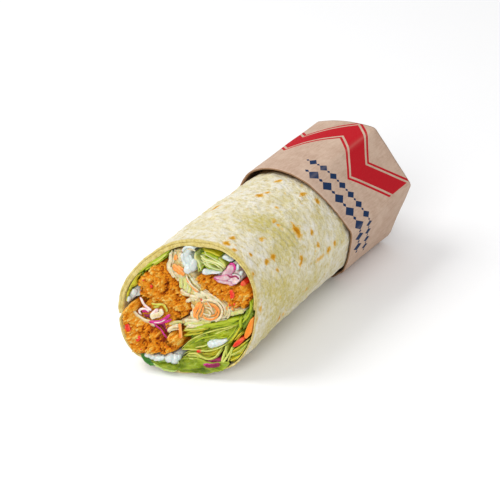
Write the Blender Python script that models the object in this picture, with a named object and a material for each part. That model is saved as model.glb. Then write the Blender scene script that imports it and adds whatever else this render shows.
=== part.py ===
"""A falafel wrap: a tortilla rolled round its filling and cut across, its other end in a kraft carton.

Everything is drawn at the cut, where x runs to the right and z up in millimetres, and is then
carried back along the wrap, which goes from the slack shape of the cut end to the shape the carton
holds it in. y runs from the cut to the closed end of the carton.
"""

import math

import bmesh
import bpy
from mathutils import Vector, noise

MM = 0.001

# The object is centred on its bounds, so the closed end of the carton lies this far along y.
REAR_Y = 86.6
CENTRE_X = -0.4

# The cut: a plane that leans back towards the top and the right.
CUT_Y = -155.7
CUT_LEAN_X = 0.28
CUT_LEAN_Z = 0.29
CUT_MIDDLE_Z = 32.5

# The tortilla, rolled clockwise from its outer end at the lower left.
SHEET = 1.45
SLACK = 0.35
FIT = 0.35
OUTER_END = 195.0
OUTER_END_THINNED = 0.85
OVERLAP = 190.0
CUT_CENTRE = (-2.0, 33.0)
ROUND_CENTRE = (0.0, 33.0)
CUT_RADII = (33.0, 33.3, 33.6, 33.0, 32.0, 31.5, 31.0, 32.0, 33.5, 34.2, 35.5, 33.2, 33.0, 33.2, 36.3, 34.9)
ROUND_RADIUS = 32.7
REAR_RADIUS = 31.4
STATIONS = (-132.0, -106.0, -72.0, -40.0, -4.0)
SHEET_SAMPLES = 100
CUT_RIPPLE = 0.5

# Turning clockwise from the outer end: where the end is thinned, and where the sheet tucks under itself.
THINNED_TURN = 16.0
TUCK_FROM = 290.0
TUCK_TURN = 65.0
TUCKED_ROOM = 4.0

# Along the wrap: it is round this far behind the end of the cut's shape, then narrows into the carton.
CUT_SHAPE_TO = -142.0
ROUNDING_RUN = 36.0
NARROWS_FROM = -104.0
NARROWING_RUN = 100.0
HELD_FROM = -80.0
MOUTH_RUN = 60.0
CLEAR_OF_CARD = 0.45

# How an outline is drawn: the part of each side that its corners take, and its closest points.
CORNER_PART = 0.22
CLOSEST_POINTS = 0.45

# The carton: six panels and two narrow ones by the floor, bulged by the wrap towards its mouth,
# where the corner by the floor is lifted.
CARD = 0.8
CARTON_CORNERS = (
    (-23.1, 60.2), (12.3, 66.0), (34.8, 38.8), (23.3, 6.8), (20.9, 2.95), (15.5, 0.0), (-15.5, 0.0),
    (-35.5, 27.5),
)
REAR_BULGE = (2.0, 0.0, 0.0, 0.0, 0.0, 0.0, 0.0, 0.0)
MOUTH_BULGE = (5.0, 2.4, 1.2, 0.0, 0.0, 0.0, 1.0, 2.0)
PANEL_SPLITS = (8, 6, 5, 1, 1, 4, 5, 6)
LIFTED_CORNER = 4
MOUTH_LIFT = (0.0, 2.2)

# The carton's mouth is a slanting plane: y at x = z = 0, and its change for each millimetre of x and z.
MOUTH_Y = -46.8
MOUTH_LEAN_X = -0.042
MOUTH_LEAN_Z = -0.351


# Each kind of piece by the start of its name: base colour and roughness.
FINISHES = {
    "tortilla": ((0.80, 0.71, 0.50), 0.75),
    "carton": ((0.56, 0.37, 0.22), 0.85),
    "falafel": ((0.62, 0.27, 0.06), 0.80),
    "slaw": ((0.80, 0.74, 0.55), 0.45),
    "carrot": ((0.85, 0.28, 0.04), 0.50),
    "red_cabbage": ((0.55, 0.06, 0.24), 0.40),
    "red_pepper": ((0.70, 0.04, 0.02), 0.35),
    "sauce": ((0.86, 0.87, 0.84), 0.30),
    "lettuce": ((0.27, 0.47, 0.06), 0.45),
}


def mix(a, b, t):
    return a + (b - a) * t


def smooth(t):
    t = min(max(t, 0.0), 1.0)
    return t * t * (3 - 2 * t)


def cut_y(x, z):
    return CUT_Y + CUT_LEAN_X * x + CUT_LEAN_Z * (z - CUT_MIDDLE_Z)


def panel_points(v, inset):
    """The carton's section at v, which is 0 at the closed end and 1 at the mouth."""
    points = []
    corners = [Vector(c) for c in CARTON_CORNERS]
    corners[LIFTED_CORNER] += Vector(MOUTH_LIFT) * v
    count = len(corners)
    for i, splits in enumerate(PANEL_SPLITS):
        start = corners[i]
        end = corners[(i + 1) % count]
        before = corners[i - 1]
        normal = Vector((start.y - end.y, end.x - start.x)).normalized()
        last = Vector((before.y - start.y, start.x - before.x)).normalized()
        corner = (normal + last) / (1 + normal.dot(last))
        after = corners[(i + 2) % count]
        following = Vector((end.y - after.y, after.x - end.x)).normalized()
        next_corner = (normal + following) / (1 + normal.dot(following))
        bulge = mix(REAR_BULGE[i], MOUTH_BULGE[i], v)
        for k in range(splits):
            t = k / splits
            out = normal * bulge * 4 * t * (1 - t)
            inward = corner.lerp(next_corner, t) * inset
            points.append(start.lerp(end, t) + out - inward)
    return points


def polar_radius(points, centre, angle):
    """How far out from the centre a closed outline lies in one direction."""
    away = Vector((math.cos(angle), math.sin(angle)))
    side = Vector((-away.y, away.x))
    for i, point in enumerate(points):
        a = point - centre
        b = points[(i + 1) % len(points)] - centre
        sa, sb = a.dot(side), b.dot(side)
        if (sa >= 0) != (sb >= 0):
            t = sa / (sa - sb)
            reach = a.lerp(b, t).dot(away)
            if reach > 0:
                return reach
    return 0.0


def cut_radius(angle):
    """The wrap's outline at the cut, as a smooth closed curve through the measured radii."""
    count = len(CUT_RADII)
    place = (math.degrees(angle) % 360) / 360 * count
    i = int(place)
    t = place - i
    p0, p1, p2, p3 = (CUT_RADII[(i + k) % count] for k in (-1, 0, 1, 2))
    return p1 + 0.5 * t * (p2 - p0 + t * (2 * p0 - 5 * p1 + 4 * p2 - p3 + t * (3 * (p1 - p2) + p3 - p0)))


def wrap_centre(y):
    t = smooth((y - CUT_SHAPE_TO) / ROUNDING_RUN)
    return Vector((mix(CUT_CENTRE[0], ROUND_CENTRE[0], t), mix(CUT_CENTRE[1], ROUND_CENTRE[1], t)))


HELD = {}


def wrap_radius(angle, y):
    t = smooth((y - CUT_SHAPE_TO) / ROUNDING_RUN)
    held_radius = mix(ROUND_RADIUS, REAR_RADIUS, smooth((y - NARROWS_FROM) / NARROWING_RUN))
    radius = mix(cut_radius(angle), held_radius, t)
    if y > HELD_FROM:
        v = min(-y / MOUTH_RUN, 1.0)
        if v not in HELD:
            HELD[v] = panel_points(v, CARD + CLEAR_OF_CARD)
        radius = min(radius, polar_radius(HELD[v], wrap_centre(y), angle))
    return radius


def carried(x, z, y):
    """Where a point drawn at the cut lies further back along the wrap."""
    if y <= CUT_SHAPE_TO:
        return Vector((x, y, z))
    away = Vector((x, z)) - Vector(CUT_CENTRE)
    angle = math.atan2(away.y, away.x)
    part = away.length / cut_radius(angle)
    centre = wrap_centre(y)
    reach = part * wrap_radius(angle, y)
    return Vector((centre.x + reach * math.cos(angle), y, centre.y + reach * math.sin(angle)))


def sheet_inset(turned):
    """How far the sheet's outer face lies under the outline after turning so many degrees."""
    return (SHEET + SLACK) * smooth((turned - TUCK_FROM) / TUCK_TURN)


def room(angle):
    """The radius left for the filling inside the sheet."""
    turned = (OUTER_END - math.degrees(angle)) % 360
    if turned < OVERLAP + TUCKED_ROOM:
        turned += 360
    return cut_radius(angle) - sheet_inset(turned) - SHEET - FIT


def inside(point):
    """Draws a point in until it clears the tortilla."""
    away = Vector(point) - Vector(CUT_CENTRE)
    angle = math.atan2(away.y, away.x)
    return Vector(CUT_CENTRE) + away.normalized() * min(away.length, room(angle))


def outline(corners, step):
    """Rounds the corners of a closed shape, splits its sides and keeps it inside the tortilla."""
    corners = [Vector(c) for c in corners]
    rounded = []
    for i, here in enumerate(corners):
        following = corners[(i + 1) % len(corners)]
        rounded += [here.lerp(following, CORNER_PART), here.lerp(following, 1 - CORNER_PART)]
    points = []
    for i, here in enumerate(rounded):
        following = rounded[(i + 1) % len(rounded)]
        splits = max(1, round((following - here).length / step))
        points += [here.lerp(following, k / splits) for k in range(splits)]
    kept = []
    for point in map(inside, points):
        if not kept or (point - kept[-1]).length > CLOSEST_POINTS:
            kept.append(point)
    area = sum(p.x * q.y - q.x * p.y for p, q in zip(kept, kept[1:] + kept[:1]))
    return kept if area > 0 else kept[::-1]


def finish(kind):
    """The plain material shared by every piece of one kind."""
    name = kind + "_finish"
    if name in bpy.data.materials:
        return bpy.data.materials[name]
    colour, roughness = FINISHES[kind]
    material = bpy.data.materials.new(name)
    material.use_nodes = True
    shader = material.node_tree.nodes["Principled BSDF"]
    shader.inputs["Base Color"].default_value = (*colour, 1)
    shader.inputs["Roughness"].default_value = roughness
    return material


def solid(name, verts, faces):
    """A closed body with its faces turned out, moved to its place in the object and in metres."""
    mesh = bpy.data.meshes.new(name)
    shift = Vector((-CENTRE_X, REAR_Y, 0))
    mesh.from_pydata([(v + shift) * MM for v in verts], [], faces)
    body = bmesh.new()
    body.from_mesh(mesh)
    bmesh.ops.recalc_face_normals(body, faces=body.faces)
    body.to_mesh(mesh)
    body.free()
    made = bpy.data.objects.new(name, mesh)
    bpy.context.scene.collection.objects.link(made)
    return made


def loft(rings, front_cap=True):
    """Skins rings of equal length and closes both ends."""
    count = len(rings[0])
    verts = [v for ring in rings for v in ring]
    faces = []
    for r in range(len(rings) - 1):
        for i in range(count):
            j = (i + 1) % count
            faces.append((r * count + i, r * count + j, (r + 1) * count + j, (r + 1) * count + i))
    last = (len(rings) - 1) * count
    faces.append(tuple(range(last, last + count)))
    if front_cap:
        faces.append(tuple(reversed(range(count))))
    return verts, faces


def through(name, corners, front=0.0, step=3.0):
    """A layer that runs from the cut to the closed end."""
    points = outline(corners, step)
    rings = [[carried(p.x, p.y, cut_y(p.x, p.y) + front) for p in points]]
    rings += [[carried(p.x, p.y, y) for p in points] for y in STATIONS]
    return solid(name, *loft(rings))


def nearest(point, start, end):
    along = end - start
    t = (point - start).dot(along) / along.length_squared
    return start.lerp(end, min(max(t, 0.0), 1.0))


def domed(name, corners, spine, dome, rough, grain, rings_in, step, drop=1.0):
    """A layer whose cut face swells towards the viewer, in rings drawn in to a spine, with lumps."""
    points = outline(corners, step)
    start, end = map(Vector, spine)
    rings = [[carried(p.x, p.y, y) for p in points] for y in reversed(STATIONS)]
    for k in range(rings_in + 1):
        s = 1 - k / (rings_in + 0.5)
        ring = []
        for p in points:
            q = nearest(p, start, end).lerp(p, max(s, 0.06))
            lump = rough * noise.noise(Vector((q.x, q.y, 3.7 * dome)) * grain) if k < rings_in else 0.0
            ring.append(carried(q.x, q.y, cut_y(q.x, q.y) - dome * (1 - s ** 3) + lump + drop * s ** 8))
        rings.append(ring)
    return solid(name, *loft(rings))


def strip_outline(path, width):
    """The outline of a narrow strip that follows a path, with square ends."""
    path = [Vector(p) for p in path]
    left, right = [], []
    for i, here in enumerate(path):
        along = (path[min(i + 1, len(path) - 1)] - path[max(i - 1, 0)]).normalized()
        side = Vector((-along.y, along.x)) * width / 2
        left.append(here + side)
        right.append(here - side)
    return left + right[::-1]


def curve(path, step=1.6):
    """A smooth path through a few points."""
    path = [Vector(p) for p in path]
    ends = [path[0] * 2 - path[1]] + path + [path[-1] * 2 - path[-2]]
    points = []
    for i in range(1, len(ends) - 2):
        p0, p1, p2, p3 = ends[i - 1:i + 3]
        splits = max(1, round((p2 - p1).length / step))
        for k in range(splits):
            t = k / splits
            bend = 2 * p0 - 5 * p1 + 4 * p2 - p3 + t * (3 * (p1 - p2) + p3 - p0)
            points.append(p1 + 0.5 * t * (p2 - p0 + t * bend))
    return points + [path[-1]]


def strip(name, path, width, front, back):
    """A shred or the edge of a leaf, seen end on at the cut."""
    points = [inside(p) for p in strip_outline(curve(path), width)]
    rings = [[carried(p.x, p.y, cut_y(p.x, p.y) + d) for p in points] for d in (front, back)]
    return solid(name, *loft(rings))


def fused(core, pieces):
    """Joins pieces to a core into one body."""
    group = bpy.data.collections.new(core.name + "_pieces")
    for piece in pieces:
        group.objects.link(piece)
    union = core.modifiers.new("union", "BOOLEAN")
    union.operation = "UNION"
    union.solver = "EXACT"
    union.operand_type = "COLLECTION"
    union.collection = group
    evaluated = core.evaluated_get(bpy.context.evaluated_depsgraph_get())
    mesh = bpy.data.meshes.new_from_object(evaluated)
    core.modifiers.clear()
    core.data = mesh
    for piece in pieces:
        bpy.data.objects.remove(piece)
    bpy.data.collections.remove(group)
    return core


def tortilla():
    """One sheet, rolled with its inner end under the outer turn from the left round to the right."""
    turns = 360 + OVERLAP
    outer, inner = [], []
    for k in range(SHEET_SAMPLES + 1):
        turned = turns * k / SHEET_SAMPLES
        angle = math.radians(OUTER_END - turned)
        reach = cut_radius(angle) - sheet_inset(turned)
        away = Vector((math.cos(angle), math.sin(angle)))
        thinned = OUTER_END_THINNED * (1 - smooth(turned / THINNED_TURN))
        outer.append(Vector(CUT_CENTRE) + away * (reach - thinned))
        inner.append(Vector(CUT_CENTRE) + away * (reach - SHEET))
    points = outer + inner[::-1]
    count = len(points)
    ring = []
    for i, p in enumerate(points):
        k = i if i <= SHEET_SAMPLES else count - 1 - i
        ripple = CUT_RIPPLE * noise.noise(Vector((k * 0.25, 0, 0)))
        ring.append(carried(p.x, p.y, cut_y(p.x, p.y) + ripple))
    rings = [ring] + [[carried(p.x, p.y, y) for p in points] for y in STATIONS]
    verts, faces = loft(rings, front_cap=False)
    faces.pop()
    last = (len(rings) - 1) * count
    for k in range(SHEET_SAMPLES):
        a, b = k, k + 1
        c, d = count - 1 - b, count - 1 - a
        faces.append((d, c, b, a))
        faces.append((last + a, last + b, last + c, last + d))
    return solid("tortilla", verts, faces)


def carton():
    """A tube of card with a slanting mouth and a closed end."""
    rows = (0.0, 0.34, 0.67, 1.0)
    outer_rings, inner_rings = [], []
    for v in rows:
        outer = panel_points(v, 0.0)
        ys = [v * (MOUTH_Y + MOUTH_LEAN_X * p.x + MOUTH_LEAN_Z * p.y) for p in outer]
        outer_rings.append([Vector((p.x, y, p.y)) for p, y in zip(outer, ys)])
        inner_rings.append([Vector((p.x, min(y, -CARD), p.y)) for p, y in zip(panel_points(v, CARD), ys)])
    return solid("carton", *loft(outer_rings + inner_rings[::-1]))


for start_object in list(bpy.data.objects):
    bpy.data.objects.remove(start_object)

tortilla()
carton()

# The three falafel balls, cut through.
domed(
    "falafel_upper",
    ((-25.5, 44.5), (-22.5, 48.3), (-18.5, 50.3), (-16.0, 51.6), (-14.6, 48.5), (-13.0, 45.3), (-9.7, 42.5),
     (-7.6, 38.5), (-4.2, 36.0), (-2.0, 33.0), (-1.0, 30.0), (-2.2, 27.2), (-6.5, 25.4), (-8.5, 28.2),
     (-11.5, 31.2), (-18.0, 33.2), (-22.0, 33.6), (-25.2, 34.8), (-27.2, 38.0), (-27.6, 41.5)),
    ((-19.5, 42.0), (-8.0, 32.5)), dome=1.2, rough=1.6, grain=0.55, rings_in=5, step=2.2,
)
domed(
    "falafel_lower",
    ((-30.5, 28.6), (-28.6, 31.6), (-26.4, 31.8), (-25.4, 30.0), (-25.8, 28.2), (-27.2, 26.6), (-22.0, 23.3),
     (-16.6, 20.9), (-12.2, 18.7), (-9.0, 16.6), (-7.5, 19.5), (-4.0, 19.5), (-2.2, 17.0), (-2.2, 12.4),
     (-4.2, 10.6), (-7.6, 8.9), (-11.0, 8.4), (-17.4, 8.4), (-19.0, 7.0), (-26.0, 8.0), (-31.0, 12.0),
     (-33.0, 18.0), (-33.0, 25.0)),
    ((-27.6, 21.0), (-7.0, 13.6)), dome=5.0, rough=1.8, grain=0.5, rings_in=5, step=2.2,
)
domed(
    "falafel_right",
    ((-0.3, 46.6), (2.6, 48.6), (6.6, 48.9), (8.5, 47.1), (13.0, 45.8), (17.8, 45.0), (20.6, 45.8),
     (24.4, 45.8), (26.6, 42.2), (26.9, 40.2), (26.0, 36.2), (23.0, 35.0), (18.0, 35.5), (15.0, 37.0),
     (9.0, 39.4), (5.0, 41.5), (2.0, 43.8)),
    ((8.0, 44.0), (21.5, 40.5)), dome=1.2, rough=1.5, grain=0.55, rings_in=4, step=2.2,
)

# The slaw: a core with shreds of white cabbage on its face.
slaw = through(
    "slaw",
    ((-14.2, 57.0), (-9.4, 58.2), (-8.7, 55.5), (-7.1, 51.0), (-2.8, 48.1), (-1.2, 46.0), (1.2, 43.1),
     (4.2, 40.8), (8.6, 38.6), (14.8, 36.2), (17.8, 34.8), (22.8, 34.3), (25.0, 34.8), (24.4, 33.0),
     (19.5, 30.6), (13.0, 28.0), (6.0, 25.6), (1.0, 23.8), (-3.0, 22.6), (-5.8, 24.4), (-1.6, 26.6),
     (-0.3, 30.2), (-1.4, 33.5), (-3.7, 36.7), (-7.0, 39.1), (-9.0, 43.2), (-12.5, 46.0), (-13.9, 49.0),
     (-15.2, 52.6)),
    front=3.6, step=2.6,
)
slaw_shreds = [
    strip("shred_a", ((-13.0, 56.6), (-13.6, 53.0), (-13.3, 49.6), (-11.8, 46.8)), 1.9, 0.4, 5.0),
    strip("shred_b", ((-10.8, 55.6), (-9.4, 54.6), (-8.8, 53.6)), 1.6, 0.8, 5.0),
    strip("shred_c", ((-7.6, 43.6), (-5.8, 42.4), (-4.6, 40.2), (-4.4, 38.2)), 1.9, 0.0, 5.0),
    strip("shred_d", ((-3.6, 45.4), (-1.6, 43.0), (0.8, 41.0), (3.8, 39.4)), 1.7, -0.3, 5.0),
    strip("shred_e", ((5.4, 39.4), (8.8, 37.6), (12.4, 36.2), (15.4, 33.6), (16.2, 30.4)), 1.6, -0.2, 5.0),
    strip("shred_f", ((-2.6, 37.6), (-0.8, 36.8), (0.5, 35.4), (0.1, 33.8)), 1.5, 0.2, 5.0),
    strip("shred_g", ((18.0, 31.6), (20.2, 33.0), (22.8, 33.6)), 1.2, 0.4, 5.0),
    strip("shred_h", ((0.4, 25.0), (4.6, 25.9), (8.6, 26.9)), 1.0, 0.3, 5.0),
    strip("shred_i", ((-1.0, 24.0), (-3.4, 24.0)), 1.5, 0.4, 5.0),
]
fused(slaw, slaw_shreds)

# Carrot: shreds in the slaw, and a stick at the right.
strip("carrot_top", ((-11.2, 52.0), (-9.8, 50.6), (-7.6, 49.2), (-5.6, 48.0)), 2.6, 0.3, 3.1)
strip(
    "carrot_curl",
    ((6.6, 33.8), (8.6, 34.2), (11.6, 33.6), (12.9, 31.6), (11.6, 29.6), (8.6, 29.0), (6.0, 29.6)),
    1.7, 0.0, 3.1,
)
strip("carrot_wide", ((4.0, 35.4), (3.2, 33.2), (2.4, 30.8), (3.8, 28.6)), 2.6, 0.1, 3.1)
through(
    "carrot_stick",
    ((26.6, 22.6), (28.0, 21.2), (30.0, 24.5), (31.0, 30.5), (31.0, 32.0), (28.9, 32.0), (27.6, 27.4)),
)

# Red cabbage: a tangle at the left, a folded piece at the upper right and a scrap at the bottom.
tangle = through(
    "red_cabbage_left",
    ((-21.8, 32.9), (-17.8, 32.4), (-12.0, 30.6), (-9.4, 27.9), (-7.4, 25.0), (-8.0, 22.8), (-8.6, 19.6),
     (-9.2, 17.9), (-12.2, 19.5), (-16.6, 21.7), (-22.0, 24.2), (-25.6, 26.7), (-24.2, 28.4), (-22.6, 30.8)),
    front=3.0, step=2.6,
)
tangle_shreds = [
    strip("tangle_a", ((-24.6, 33.2), (-22.6, 30.6), (-20.2, 28.8), (-18.4, 27.8)), 1.5, -1.6, 4.4),
    strip("tangle_b", ((-25.0, 26.9), (-22.6, 25.5), (-20.0, 24.6), (-17.4, 23.9)), 1.4, -1.2, 4.4),
    strip("tangle_c", ((-18.0, 25.4), (-16.2, 28.2), (-13.6, 27.4), (-14.2, 25.4)), 2.0, -1.8, 4.4),
    strip("tangle_d", ((-17.6, 31.6), (-15.0, 31.0), (-12.2, 29.6)), 1.4, -0.8, 4.4),
    strip("tangle_e", ((-16.4, 23.8), (-12.6, 24.4), (-9.2, 25.6)), 1.8, -1.2, 4.4),
    strip("tangle_f", ((-15.8, 22.4), (-12.8, 21.0), (-10.2, 19.0)), 1.3, -0.6, 4.4),
]
fused(tangle, tangle_shreds)
domed(
    "red_cabbage_right",
    ((8.2, 48.6), (12.8, 49.9), (13.9, 53.2), (15.2, 55.8), (16.9, 56.0), (17.7, 54.4), (18.2, 52.2),
     (20.0, 50.2), (20.9, 49.3), (20.2, 47.0), (17.6, 45.9), (13.2, 46.7)),
    ((15.6, 51.6), (16.2, 48.0)), dome=0.6, rough=0.9, grain=0.4, rings_in=2, step=2.8,
)
through(
    "red_cabbage_low",
    ((10.6, 7.1), (13.0, 7.0), (18.0, 8.7), (18.6, 10.0), (16.6, 10.2), (14.0, 9.3), (11.5, 8.4)),
)

# Yoghurt sauce.
domed(
    "sauce_top",
    ((-8.2, 58.8), (-7.0, 60.6), (-4.0, 61.8), (-1.6, 61.2), (-4.2, 59.4), (-4.8, 57.2), (-2.6, 54.8),
     (-1.0, 52.4), (-0.8, 49.6), (-3.2, 48.9), (-6.0, 51.4), (-7.8, 55.0)),
    ((-5.8, 58.6), (-3.4, 51.4)), dome=0.8, rough=0.3, grain=0.3, rings_in=2, step=2.8,
)
through(
    "sauce_drop",
    ((2.9, 51.5), (3.0, 49.8), (4.8, 49.4), (6.9, 49.8), (10.6, 50.2), (12.0, 50.9), (7.0, 51.5)),
)
through(
    "sauce_right",
    ((10.9, 57.8), (11.0, 59.4), (13.5, 59.0), (16.2, 57.4), (15.4, 56.7), (13.2, 57.1)),
)
through(
    "sauce_left",
    ((-30.4, 36.0), (-28.6, 37.6), (-27.6, 36.8), (-26.0, 34.2), (-26.9, 32.8), (-28.6, 32.6), (-31.2, 29.0),
     (-33.0, 28.6), (-32.4, 33.0)),
)
domed(
    "sauce_low",
    ((-17.0, 7.9), (-12.0, 7.9), (-9.0, 8.1), (-6.8, 8.8), (-3.9, 10.2), (-1.8, 9.4), (-1.2, 7.6),
     (-2.4, 6.0), (-5.2, 5.6), (-8.2, 6.0), (-10.6, 5.6), (-12.6, 6.2), (-15.6, 6.0)),
    ((-14.4, 6.9), (-4.0, 7.6)), dome=2.6, rough=0.4, grain=0.3, rings_in=2, step=2.6,
)

# Lettuce: leaves and shreds all round the filling.
shredded = through(
    "lettuce_top",
    ((-2.4, 57.4), (-1.2, 59.4), (3.0, 60.4), (6.2, 59.4), (9.6, 58.0), (12.2, 56.4), (13.0, 54.0),
     (12.6, 51.8), (11.4, 51.5), (7.0, 52.1), (3.4, 52.2), (2.3, 50.2), (0.6, 49.8), (0.0, 52.6),
     (-1.7, 55.0)),
    front=4.2, step=2.6,
)
lettuce_shreds = [
    strip("leaf_a", ((-1.6, 58.4), (-0.6, 55.6), (1.2, 53.4), (1.6, 51.0)), 1.3, 0.2, 5.6),
    strip("leaf_b", ((0.8, 58.4), (2.6, 56.2), (5.4, 55.6), (9.0, 55.4), (11.6, 53.6)), 1.2, 0.4, 5.6),
    strip("leaf_c", ((2.8, 58.6), (5.8, 57.8), (8.4, 57.0)), 1.2, 0.9, 5.6),
    strip("leaf_d", ((6.6, 53.0), (9.0, 52.8), (11.4, 52.7)), 0.9, 0.5, 5.6),
]
fused(shredded, lettuce_shreds)
through(
    "lettuce_left",
    ((-26.2, 47.2), (-23.0, 50.4), (-18.0, 55.0), (-15.2, 57.6), (-14.6, 56.2), (-16.6, 52.8), (-19.2, 51.0),
     (-23.0, 49.0), (-25.8, 45.6)),
    front=0.6,
)
through(
    "lettuce_left_pale",
    ((-29.5, 45.0), (-27.0, 45.2), (-26.6, 44.4), (-28.2, 41.8), (-28.1, 38.8), (-30.2, 37.0), (-31.4, 35.4),
     (-33.6, 35.0), (-32.5, 41.5)),
    front=1.4,
)
under = through(
    "lettuce_under",
    ((-1.8, 17.6), (-2.2, 20.4), (1.0, 22.9), (6.0, 24.9), (13.0, 27.3), (19.5, 29.9), (23.3, 31.6),
     (23.2, 28.6), (21.0, 27.9), (17.0, 26.0), (13.0, 24.0), (9.5, 22.4), (5.0, 20.2), (1.0, 18.2)),
    front=4.5, step=2.6,
)
under_leaves = [
    strip("under_a", ((-1.0, 20.6), (4.0, 22.6), (10.4, 25.0), (16.4, 27.4), (21.6, 29.6)), 1.3, -0.2, 6.0),
    strip("under_b", ((-0.6, 18.8), (4.2, 20.8), (9.0, 23.0), (14.0, 25.2), (19.4, 27.6)), 1.0, 0.8, 6.0),
]
fused(under, under_leaves)
through(
    "lettuce_right",
    ((27.2, 39.0), (28.6, 36.3), (28.7, 33.6), (27.6, 31.0), (26.6, 27.4), (25.6, 25.2), (24.0, 26.6),
     (24.0, 30.6), (25.3, 33.0), (26.5, 36.0)),
    front=1.6, step=2.4,
)
domed(
    "lettuce_fold",
    ((-1.7, 12.4), (0.0, 15.0), (3.4, 18.5), (9.0, 21.6), (14.0, 23.6), (20.0, 27.1), (22.2, 27.3),
     (22.8, 24.6), (20.8, 20.0), (18.6, 17.0), (15.0, 14.6), (9.0, 12.6), (3.0, 11.9), (-0.4, 11.6)),
    ((5.0, 15.6), (17.6, 20.6)), dome=-1.2, rough=0.6, grain=0.3, rings_in=3, step=2.8, drop=-1.2,
)
through(
    "lettuce_small",
    ((0.8, 8.8), (1.2, 10.6), (5.0, 11.2), (9.0, 11.3), (14.0, 12.8), (16.6, 14.8), (17.0, 12.8),
     (15.6, 11.0), (13.0, 9.7), (10.0, 8.9), (5.0, 8.5)),
    step=2.4,
)
strip(
    "lettuce_vee",
    ((19.3, 16.8), (18.9, 13.4), (18.9, 10.4), (19.6, 10.2), (20.8, 12.8), (21.6, 15.8)),
    0.8, -0.2, 26.0,
)
through(
    "lettuce_corner",
    ((22.7, 15.2), (25.7, 17.6), (27.4, 19.0), (28.8, 18.4), (29.6, 15.6), (27.8, 11.0), (24.6, 8.0),
     (21.0, 8.6), (21.6, 11.6)),
    front=1.2, step=2.4,
)
through(
    "lettuce_edge",
    ((21.4, 19.8), (23.4, 23.8), (23.4, 25.6), (25.0, 24.2), (26.0, 23.2), (24.6, 21.8), (22.4, 20.0)),
)
through(
    "red_pepper_low",
    ((22.0, 17.0), (22.8, 19.2), (25.2, 21.4), (26.6, 21.9), (27.2, 20.6), (25.4, 18.0), (23.2, 16.4)),
)
through("red_pepper_right", ((21.3, 48.0), (22.3, 48.9), (24.0, 46.9), (22.9, 46.4), (21.5, 46.5)))
domed(
    "lettuce_bottom",
    ((-0.2, 5.2), (0.2, 7.8), (5.0, 7.9), (10.0, 7.8), (10.4, 6.6), (13.0, 6.3), (18.2, 7.8), (19.6, 7.0),
     (19.6, 4.0), (16.0, 0.0), (8.0, -2.0), (0.0, -1.0)),
    ((3.0, 4.4), (17.0, 5.6)), dome=3.4, rough=0.5, grain=0.3, rings_in=2, step=2.8,
)
domed(
    "lettuce_bottom_left",
    ((-20.4, 5.4), (-17.2, 7.2), (-15.8, 5.5), (-12.7, 5.7), (-10.6, 5.1), (-8.2, 5.5), (-5.0, 5.1),
     (-2.2, 5.4), (-0.8, 5.0), (-0.8, 0.0), (-12.0, -2.0), (-20.0, 0.0)),
    ((-16.4, 4.0), (-4.0, 3.2)), dome=4.6, rough=0.4, grain=0.3, rings_in=2, step=2.8,
)

for piece in bpy.data.objects:
    kind = next(kind for kind in FINISHES if piece.name.startswith(kind))
    piece.data.materials.clear()
    piece.data.materials.append(finish(kind))
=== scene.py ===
"""The falafel wrap as it looks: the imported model's solids dressed with worked surfaces and materials."""

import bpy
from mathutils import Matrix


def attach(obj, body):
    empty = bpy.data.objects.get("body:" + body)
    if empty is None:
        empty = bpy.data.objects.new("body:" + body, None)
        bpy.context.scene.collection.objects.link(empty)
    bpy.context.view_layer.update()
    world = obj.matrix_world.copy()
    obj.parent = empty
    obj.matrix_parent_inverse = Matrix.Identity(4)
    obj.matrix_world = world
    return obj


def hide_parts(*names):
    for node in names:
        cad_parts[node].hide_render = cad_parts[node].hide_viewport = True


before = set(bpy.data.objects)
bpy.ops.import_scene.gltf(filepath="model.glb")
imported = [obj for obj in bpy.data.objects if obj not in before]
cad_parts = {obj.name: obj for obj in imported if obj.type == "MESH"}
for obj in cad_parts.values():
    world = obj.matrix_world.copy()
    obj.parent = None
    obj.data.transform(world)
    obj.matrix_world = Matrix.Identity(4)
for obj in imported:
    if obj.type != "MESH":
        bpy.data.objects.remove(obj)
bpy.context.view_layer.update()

import math
import random

import bmesh
import bpy
from mathutils import Vector, geometry, kdtree, noise

noise.seed_set(3)

# The studio: a plain white table under two large soft lamps, one above at the left and one in front,
# with white light from all round. The camera looks down on the wrap from its cut end.
CAMERA_PLACE = (0.5276, -0.8571, 0.6034)
CAMERA_TOWARDS = (-0.4618, 0.7363, -0.4946)
CAMERA_LENS = 165.96
CAMERA_SENSOR = 36.0
TABLE_HALF = 3.0
TABLE_BELOW = 0.0002
TABLE_WHITE = (0.93, 0.93, 0.935)
TABLE_SHADE = (0.925, 0.925, 0.93)
WORLD_STRENGTH = 0.67
LAMP_SIZE = 0.6
LAMP_AIM = Vector((0, -0.02, 0.03))
# Each lamp: where it hangs and its power.
LAMPS = {"key_lamp": ((-0.75, -0.30, 1.05), 7.7), "fill_lamp": ((0.30, -1.15, 0.80), 7.4)}


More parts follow.
